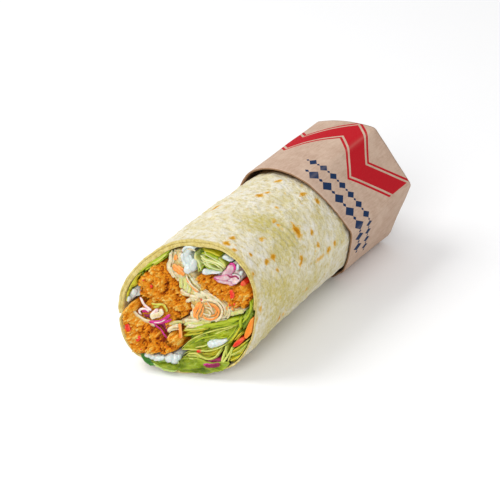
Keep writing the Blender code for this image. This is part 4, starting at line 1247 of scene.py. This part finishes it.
def drop(heap, x, z, wide, tall, out, front):
    """A round drop: a squashed, slightly uneven ball that stands out from the cut face."""
    rings, sides = 8, 14
    verts, faces = [], []
    for r in range(rings + 1):
        a = math.pi * r / rings
        for k in range(sides):
            b = 2 * math.pi * k / sides
            away = Vector((math.sin(a) * math.cos(b), math.sin(a) * math.sin(b), math.cos(a)))
            away *= 1 + 0.28 * noise.noise(away * 1.3 + Vector((x, z, 0)))
            p = Vector((x + away.x * wide / 2, z + away.y * tall / 2))
            verts.append(carried(p.x, p.y, cut_y(p.x, p.y) + front - away.z * out))
    for r in range(rings):
        for k in range(sides):
            j = (k + 1) % sides
            if r == 0:
                faces.append((0, (r + 1) * sides + j, (r + 1) * sides + k))
            elif r == rings - 1:
                faces.append((r * sides + k, r * sides + j, rings * sides))
            else:
                faces.append((r * sides + k, r * sides + j, (r + 1) * sides + j, (r + 1) * sides + k))
    used = sorted({i for face in faces for i in face})
    at = {old: new for new, old in enumerate(used)}
    faces = [tuple(at[i] for i in face) for face in faces]
    heap.join([verts[i] for i in used], faces, [0.0] * len(used))


yoghurt = Finish(
    "yoghurt_sauce", 0.22, Specular_IOR_Level=0.5, Subsurface_Weight=0.2, Subsurface_Scale=0.002,
    Coat_Weight=0.3, Coat_Roughness=0.12,
)
yoghurt.coloured(yoghurt.mixed(yoghurt.grain(3.0), (0.63, 0.67, 0.665), (0.54, 0.59, 0.53)))
yoghurt.bumped(yoghurt.grain(2.4, 2.0), 0.10)
# Blobs: how far they bulge, how far the front lies behind the cut, and their outline.
SAUCES = {
    "sauce_top": (
        1.5, 0.5,
        "-8.2,58.8 -7,60.6 -4,61.8 -1.6,61.2 -4.2,59.4 -4.8,57.2 -2.6,54.8 -1,52.4 -0.8,49.6 -3.2,48.9 "
        "-6,51.4 -7.8,55",
    ),
    "sauce_drop": (
        1.5, -0.3,
        "2.4,51.3 2.7,49.6 4.8,48.9 6.9,49.8 10.6,50.4 12.2,51.3 7,51.7",
    ),
    "sauce_right": (
        0.9, -0.2,
        "10.9,57.8 11,59.4 13.5,59 16.2,57.4 15.4,56.7 13.2,57.1",
    ),
    "sauce_left": (
        0.5, 2.0,
        "-30.4,36 -28.6,37.6 -27.6,36.8 -26,34.2 -26.9,32.8 -28.6,32.6 -31.2,29 -33,28.6 -32.4,33",
    ),
    "sauce_low": (
        0.8, 0.8,
        "-17.4,8 -12,7.9 -9,8.1 -6.8,8.8 -3.9,10.2 -1.8,9.4 -1.2,7.6 -2.4,5.4 -5.2,5.2 -8.2,6 "
        "-10.6,5.4 -12.6,6.2 -15.6,5.4",
    ),
}
POOL = (
    "10.4,15.2 9.9,16.6 10.6,18 12.6,18.7 15.4,18.9 18,19.9 19.6,20 19.2,18.6 17.4,16.8 15.2,15.4 "
    "12.8,14.4 11.2,14.4"
)
# Drops on those blobs: x and z, width, height, how far out, and their middle behind the cut.
DROPS = {
    "sauce_low": (
        (-16.0, 8.0, 3.6, 2.8, 1.2, -3.0), (-13.6, 7.4, 3.8, 2.6, 1.3, -3.1),
        (-11.0, 7.3, 4.6, 3.0, 1.6, -3.1), (-8.9, 7.8, 2.6, 2.4, 1.0, -3.2),
        (-5.4, 8.1, 5.0, 4.4, 2.2, -2.5), (-3.0, 7.8, 4.0, 5.0, 1.8, -2.4), (-1.6, 8.8, 2.4, 3.0, 1.3, -2.2),
    ),
    "sauce_left": ((-28.6, 35.4, 2.8, 3.2, 1.3, 0.4), (-30.8, 31.6, 1.8, 3.0, 1.0, 0.6)),
    "sauce_drop": ((4.4, 50.6, 3.6, 2.8, 1.8, -0.4), (6.4, 50.8, 2.4, 1.8, 1.3, -0.2)),
    "sauce_right": (
        (12.6, 58.6, 3.2, 1.8, 1.0, -0.2), (18.7, 54.6, 1.5, 3.4, 0.9, 0.2), (20.6, 52.0, 1.6, 2.4, 0.8, 0.3),
    ),
}
for node, (height, front, corners) in SAUCES.items():
    heap = Heap()
    patch(heap, corners, blob(height), front, 0.4, 0.5)
    for place in DROPS.get(node, ()):
        drop(heap, *place)
    if node == "sauce_top":
        strand(heap, 0, 1.9, -1.5, "-8,57.8 -7.3,54.8 -5.6,52.6 -4.2,51.4", thick=1.8)
        strand(heap, 0, 1.3, -1.1, "-8.2,58.4 -7,60.6 -4.4,61.3 -2.4,60.6", thick=1.3)
        strand(heap, 1, 1.0, -0.9, "-7.2,58 -5.8,59.8 -3.6,60.2 -2,59.6")
        strand(heap, 0, 1.3, -1.0, "-4.6,57.4 -3.4,55.4 -2,53.4", thick=1.5)
        strand(heap, 1, 0.9, -0.6, "-6.2,57.4 -5.2,55 -3.8,53")
        drop(heap, -4.0, 51.2, 4.4, 5.0, 1.9, -0.7)
        drop(heap, -2.0, 53.0, 3.0, 6.0, 1.7, -0.4)
    heap.make(node + "_blob", [yoghurt, creamy], [node])
heap = Heap()
patch(heap, POOL, blob(1.3, 2.2), front=0.2, spacing=0.3, round_over=0.4, deep=1.8)
drop(heap, 12.4, 16.6, 4.6, 3.8, 1.0, -0.5)
heap.make("sauce_pool", [yoghurt])


# Lettuce: thin soft leaves, folded and cut into shreds, all round the filling. Their cut edges are
# pale and the gaps between them are dark. Three leaves hang out over the sheet at the bottom.
BRIGHT, DEEP, PALE, OLIVE_LEAF, RIB, LOW_LEAF, FRESH, DARK_LEAF = range(8)
# Finishes: name, colour, where it is darker, where it is paler, and how much light shines through.
LEAF_FINISHES = (
    ("leaf_bright", (0.24, 0.33, 0.003), (0.09, 0.15, 0.001), (0.47, 0.55, 0.035), 0.1),
    ("leaf_deep", (0.08, 0.14, 0.003), (0.025, 0.05, 0.001), (0.20, 0.29, 0.02), 0.03),
    ("leaf_pale", (0.36, 0.42, 0.012), (0.20, 0.27, 0.003), (0.72, 0.73, 0.20), 0.12),
    ("leaf_olive", (0.43, 0.38, 0.002), (0.20, 0.17, 0.001), (0.65, 0.59, 0.05), 0.12),
    ("leaf_rib", (0.55, 0.58, 0.15), (0.36, 0.42, 0.05), (0.79, 0.80, 0.46), 0.2),
    ("leaf_low", (0.21, 0.29, 0.005), (0.07, 0.12, 0.001), (0.44, 0.51, 0.06), 0.08),
    ("leaf_fresh", (0.48, 0.63, 0.15), (0.27, 0.42, 0.045), (0.78, 0.87, 0.46), 0.15),
    ("leaf_dark", (0.035, 0.17, 0.018), (0.012, 0.07, 0.006), (0.10, 0.30, 0.05), 0.03),
)
# A leaf's rows: how far behind its front, part of its full width, and how pale.
LEAF_ROWS = (
    (0.0, 0.45, 1.0), (0.35, 1.0, 0.8), (1.2, 1.0, 0.25), (3.0, 0.95, 0.0), (6.0, 0.9, 0.0), (11.0, 0.8, 0.0),
)
LEAF_WAVE = 0.7


def leafy(name, base, dark, pale, glow):
    """A lettuce leaf: patches of lighter and darker green, fine veins and a pale cut edge."""
    finish = Finish(name, 0.3, Subsurface_Weight=glow, Subsurface_Scale=0.0012, Specular_IOR_Level=0.22)
    broad = finish.grain(4.6, 2.0, 0.5, (2.0, 1.0, 0.9))
    veins = finish.grain(1.6, 3.0, 0.6, (2.4, 3, 0.8))
    body = finish.mixed(finish.ramp(broad, (0.34, 0.0), (0.60, 1.0)), dark, base)
    body = finish.mixed(finish.ramp(veins, (0.50, 0.0), (0.70, 0.5)), body, pale)
    finish.coloured(finish.mixed(finish.times(finish.painted("edge"), 0.6), body, pale))
    finish.shine(finish.ramp(finish.grain(2.0), (0.35, 0.24), (0.65, 0.45)))
    finish.bumped(finish.plus(veins, finish.times(broad, 1.5)), 0.35)
    return finish


def leaf(heap, finish, width, front, path):
    """A thin leaf seen end on: a wavy strip along a path that runs back into the filling."""
    path = path_points(path)
    line = [inside(p) for p in curve(path, 0.6)]
    seed = path[0][0] * 1.7 + path[-1][1]
    last = len(line) - 1
    verts, faces, edge = [], [], []
    for back, full, pale in LEAF_ROWS:
        for side_sign in (1, -1):
            for i, here in enumerate(line):
                along = (line[min(i + 1, last)] - line[max(i - 1, 0)]).normalized()
                side = Vector((-along.y, along.x)) * side_sign
                t = i / last
                narrow = min(1.0, 0.4 + 5 * min(t, 1 - t))
                narrow *= 1 + 0.3 * noise.noise(Vector((i * 0.3, seed, 2)))
                sway = 0.09 * back * noise.noise(Vector((i * 0.12, seed, back * 0.2)))
                p = inside(here + side * (width / 2 * full * narrow) + Vector((-along.y, along.x)) * sway)
                wander = LEAF_WAVE * noise.noise(Vector((i * 0.22, seed, 5)))
                verts.append(carried(p.x, p.y, cut_y(here.x, here.y) + front + back + wander))
                edge.append(pale)
    count = len(line)
    for r in range(len(LEAF_ROWS) - 1):
        for s in (0, 1):
            a = (2 * r + s) * count
            b = (2 * (r + 1) + s) * count
            for i in range(count - 1):
                faces.append((a + i, a + i + 1, b + i + 1, b + i))
        for i in (0, count - 1):
            a, b = 2 * r * count + i, (2 * r + 1) * count + i
            c, d = (2 * r + 3) * count + i, (2 * r + 2) * count + i
            faces.append((a, b, c, d))
    for r in (0, len(LEAF_ROWS) - 1):
        a, b = 2 * r * count, (2 * r + 1) * count
        for i in range(count - 1):
            faces.append((a + i, a + i + 1, b + i + 1, b + i))
    heap.join(verts, faces, edge, finish)


leaves = [leafy(*finish) for finish in LEAF_FINISHES]
# Each node's body: finish, how far the front lies behind the cut, relief and outline.
LEAF_BODIES = {
    "lettuce_top": (
        DEEP, 3.8, limp(0.5, 3.0, 1.0),
        "-2.4,57.4 -1.2,59.4 3,60.4 6.2,59.4 9.6,58 12.2,56.4 13,54 12.6,51.8 11.4,51.5 7,52.1 "
        "3.4,52.2 2.3,50.2 0.6,49.8 0,52.6 -1.7,55",
    ),
    "lettuce_left": (
        BRIGHT, 1.4, limp(0.3, 3.0, 2.0),
        "-26.2,47.2 -23,50.4 -18,55 -15.2,57.6 -14.6,56.2 -16.6,52.8 -19.2,51 -23,49 -25.8,45.6",
    ),
    "lettuce_left_pale": (
        OLIVE_LEAF, -0.3, limp(0.6, 3.0, 3.0, 0.3),
        "-29.5,45 -27,45.2 -26.6,44.4 -28.2,41.8 -28.1,38.8 -30.2,37 -31.4,35.4 -33.6,35 -32.5,41.5",
    ),
    "lettuce_under": (
        OLIVE_LEAF, 3.4, limp(0.6, 3.0, 4.0),
        "-1.8,17.6 -2.2,20.4 1,22.9 6,24.9 13,27.3 19.5,29.9 23.3,31.6 23.2,28.6 21,27.9 17,26 13,24 "
        "9.5,22.4 5,20.2 1,18.2",
    ),
    "lettuce_right": (
        DEEP, 1.2, limp(0.5, 3.0, 5.0, 0.6),
        "27.2,39 28.6,36.3 28.7,33.6 27.6,31 26.6,27.4 25.6,25.2 24,26.6 24,30.6 25.3,33 26.5,36",
    ),
    "lettuce_fold": (
        PALE, 0.6, limp(2.0, 3.4, 6.0, -0.4, 0.0, (0.85, 0.53)),
        "-1.7,12.4 0,15 3.4,18.5 9,21.6 14,23.6 20,27.1 22.2,27.3 22.8,24.6 20.8,20 18.6,17 15,14.6 "
        "9,12.6 3,11.9 -0.4,11.6",
    ),
    "lettuce_small": (
        OLIVE_LEAF, 0.8, limp(0.6, 2.4, 7.0),
        "0.8,8.8 1.2,10.6 5,11.2 9,11.3 14,12.8 16.6,14.8 17,12.8 15.6,11 13,9.7 10,8.9 5,8.5",
    ),
    "lettuce_corner": (
        OLIVE_LEAF, 0.7, limp(0.5, 2.6, 8.0, 0.0, 0.35, (1.0, 0.9)),
        "22.7,15.2 25.7,17.6 27.4,19 28.8,18.4 29.6,15.6 27.8,11 24.6,8 21,8.6 21.6,11.6",
    ),
    "lettuce_edge": (
        DEEP, 0.8, limp(0.3, 3.0, 9.0),
        "21.4,19.8 23.4,23.8 23.4,25.6 25,24.2 26,23.2 24.6,21.8 22.4,20",
    ),
    "lettuce_bottom": (
        LOW_LEAF, 0.0, limp(0.9, 4.0, 10.0, 3.2, 0.0, reach=2.0),
        "-0.2,5.2 0.2,7.8 5,7.9 10,7.8 10.4,6.6 13,6.3 18.2,7.8 19.6,7 19.6,4 16,0 8,-2 0,-1",
    ),
    "lettuce_bottom_left": (
        LOW_LEAF, 0.0, limp(0.7, 4.0, 12.0, 4.8, 0.0, (1.0, -0.2), reach=1.6),
        "-20.4,5.4 -17.2,7.2 -15.8,5.5 -12.7,5.7 -10.6,5.1 -8.2,5.5 -5,5.1 -2.2,5.4 -0.8,5 -0.8,0 "
        "-12,-2 -20,0",
    ),
}
# Each node's edges: finish, width, how far the front lies behind the cut, and path.
LEAF_EDGES = {
    "lettuce_top": (
        (RIB, 0.8, -0.4, "-2.2,58.6 -1.6,56 0.4,53.6 1.8,51"),
        (BRIGHT, 0.7, 0.2, "-1.5,54.6 -0.2,53.4 1,52.6"),
        (RIB, 0.7, -0.6, "0.8,57.6 3,56.2 6,55.7 9.6,55.2 12.6,53.4"),
        (BRIGHT, 0.6, 0.0, "1.6,56.4 4,55.1 7,54.6 10,54.2 12.2,53"),
        (RIB, 0.5, -0.2, "2.2,55 4.6,52.9 8,52.2 11.8,51.9"),
        (BRIGHT, 0.8, 0.2, "0.6,58.6 3.6,58.5 6.6,57.5 8.8,56.9"),
        (PALE, 0.6, 0.0, "9.2,56.8 11.8,55.4 12.9,53.8"),
        (DEEP, 1.3, 0.6, "8.6,53.4 10.8,53.2"),
        (BRIGHT, 0.8, 0.0, "2.2,52.4 1.2,50.2"),
        (OLIVE_LEAF, 0.8, 0.8, "1,59.8 5,59.3 9,58"),
    ),
    "lettuce_left": (
        (BRIGHT, 1.5, -0.4, "-27.6,45.4 -23.4,49.9 -18.6,54 -14.6,57.8"),
        (PALE, 0.8, -0.5, "-21.6,50.8 -18,53.4 -15.4,56.4"),
        (BRIGHT, 1.0, 0.2, "-25,46.6 -20.6,50.2 -16.8,53.4"),
    ),
    "lettuce_left_pale": (
        (DEEP, 1.0, -0.2, "-29.2,44.6 -27.6,46.6 -26,47"),
        (DEEP, 0.8, 0.0, "-26.4,43.2 -25.6,44.6 -26.4,46"),
        (OLIVE_LEAF, 1.4, -0.4, "-32.4,36.8 -31.4,40.6 -29.2,44.6"),
        (OLIVE_LEAF, 1.2, -0.2, "-31.8,30.6 -32.4,33.6 -32.4,36.4"),
    ),
    "lettuce_under": (
        (BRIGHT, 1.9, -0.4, "2.6,22.4 8,24.4 15,27 23.4,30.6"),
        (OLIVE_LEAF, 1.3, 0.0, "-2.2,20.8 3,21.4 9,23.2"),
        (OLIVE_LEAF, 1.0, -0.2, "-1.8,18.4 3,19.8 7,21.2"),
        (PALE, 0.6, -0.6, "-1.6,21.4 3,22.2 8,23.8"),
        (DEEP, 0.9, 0.4, "1.6,17.8 5.2,19.8 9.6,22"),
        (BRIGHT, 1.2, 0.2, "10,23.6 16,26 21.4,28.6"),
        (DEEP, 0.9, 0.4, "12,23.6 17.4,25.8 22.6,29"),
    ),
    "lettuce_right": (
        (BRIGHT, 1.0, -0.5, "27.2,39.4 28,36 27,32.4 25.2,29"),
        (DEEP, 1.4, -0.2, "28.8,37 28.8,33.6 27.2,29.4 25.8,25.8"),
        (BRIGHT, 1.4, -0.4, "24,31.6 23.8,28.6 24.6,26.2"),
        (DEEP, 1.0, 0.0, "26.4,35.6 25.8,33 24.6,31"),
    ),
    "lettuce_fold": (
        (PALE, 0.6, -0.3, "-1.8,12.2 1.6,16.4 6,19.8 11,22.4 17,25 22.4,27.2"),
        (PALE, 0.7, -0.7, "-1.6,12 4,12.4 10,12.7 15.4,14.9 19.4,17.8"),
        (BRIGHT, 0.8, -0.2, "2.4,15 7.6,18.6 12.4,20.4 18,23.6"),
        (PALE, 0.6, -0.5, "4.6,13.4 9.6,15.4 11.4,17.6"),
        (BRIGHT, 0.7, 0.2, "8.4,20.8 10.4,18.8 13,19.4 19,20.6"),
        (PALE, 0.6, 0.0, "12.6,21.2 16.6,23.6 20.8,26"),
        (DEEP, 0.5, 0.0, "0.4,13.2 3.6,16 8,17.6"),
        (BRIGHT, 0.6, -0.4, "13.4,15 17.6,18 20.8,22.4 22.4,26"),
    ),
    "lettuce_small": (
        (PALE, 0.8, -0.7, "0.4,8.4 2.4,10.4 6,10.6 9,9.4 12,9 15,10.8 17.2,15.2"),
        (OLIVE_LEAF, 0.8, -0.1, "8.6,11 12,11.6 15.4,13.8"),
        (PALE, 0.7, -0.3, "1.4,9.2 4.6,9.2 7.4,8.6"),
    ),
    "lettuce_vee": (
        (PALE, 1.1, -0.6, "18.5,8.2 18.3,10.6 18.8,14 19.1,16.8"),
        (PALE, 1.0, -0.6, "18.6,8 20.3,11.4 21.5,14.6 22.1,16.6"),
    ),
    "lettuce_corner": (
        (OLIVE_LEAF, 0.8, -0.5, "22.8,14.8 25.6,17.4 28.2,20.2"),
        (PALE, 0.6, -0.4, "21.6,12.4 25.4,15 28.6,18.8"),
        (OLIVE_LEAF, 0.8, -0.3, "22.2,10 26.2,12.6 28.8,16.2"),
        (DEEP, 0.7, 0.2, "23.4,12 26.8,14.4 29,17.4"),
    ),
    "lettuce_edge": (
        (OLIVE_LEAF, 0.7, -0.5, "21.2,19.4 23,23.2 24.2,26.4"),
        (OLIVE_LEAF, 0.6, -0.3, "22.6,20 24.2,22.6 25.4,24.2"),
        (BRIGHT, 0.7, -0.3, "19.8,17.8 21.8,21.4 22.9,24.6"),
    ),
    "lettuce_bottom": (
        (PALE, 0.6, -0.9, "0,7.6 5,8.3 10.4,8"),
    ),
    "lettuce_bottom_left": (),
}
# Leaves that hang out over the sheet: finish, how far the front lies behind the cut, relief and corners.
HANGING = {
    "lettuce_bottom": (
        (
            LOW_LEAF, -1.4, limp(1.6, 3.6, 14.0, 0.0, 0.0, (1.0, 0.1)),
            "-2.6,5.4 -0.2,8.4 5.6,9 11,8.6 13.6,8 19,9.4 22.2,9 20.8,5.6 16.4,3.6 9.8,2.2 4,1.2 "
            "-1.6,1",
        ),
    ),
    "lettuce_bottom_left": (
        (
            DARK_LEAF, -1.8, limp(1.0, 3.0, 15.0, 0.0, 0.0, (0.9, -0.4)),
            "-20.4,7 -17.6,8.2 -14.4,7.2 -12,6.2 -12,3 -14.2,2.2 -17.4,3.2 -19.8,5.2",
        ),
        (
            FRESH, -2.4, limp(1.3, 3.4, 16.0, 0.0, 0.0, (0.9, -0.4)),
            "-13.8,6.8 -10,6.8 -6,7 -1.6,7 -1.2,3.4 -2,1.2 -6.5,1.2 -11.2,1.8 -13.8,3.4",
        ),
    ),
}
# How many stray edges lie beside each edge, where they aren't two.
STRAY_EDGES = {"lettuce_top": 3, "lettuce_fold": 0}
chances = random.Random(9)
for node, edges in LEAF_EDGES.items():
    heap = Heap()
    if node in LEAF_BODIES:
        finish, front, shape, corners = LEAF_BODIES[node]
        patch(heap, corners, shape, front=front, spacing=0.5, finish=finish, ragged=0.7)
    for piece in edges:
        leaf(heap, *piece)
        finish, width, front, line = piece
        for _ in range(STRAY_EDGES.get(node, 2)):
            other = chances.choice((finish, finish, BRIGHT, PALE, RIB if node == "lettuce_top" else DEEP))
            thin = chances.uniform(0.3, 0.55) if node == "lettuce_top" else chances.uniform(0.4, 0.8)
            leaf(heap, other, thin, front + chances.uniform(0.1, 1.1), stray(chances, line, 0.9))
    for finish, front, shape, corners in HANGING.get(node, ()):
        patch(heap, corners, shape, front, 0.45, 0.3, finish, deep=0.4, ragged=0.35, free=True)
    heap.make(node + "_leaves", leaves, [node])
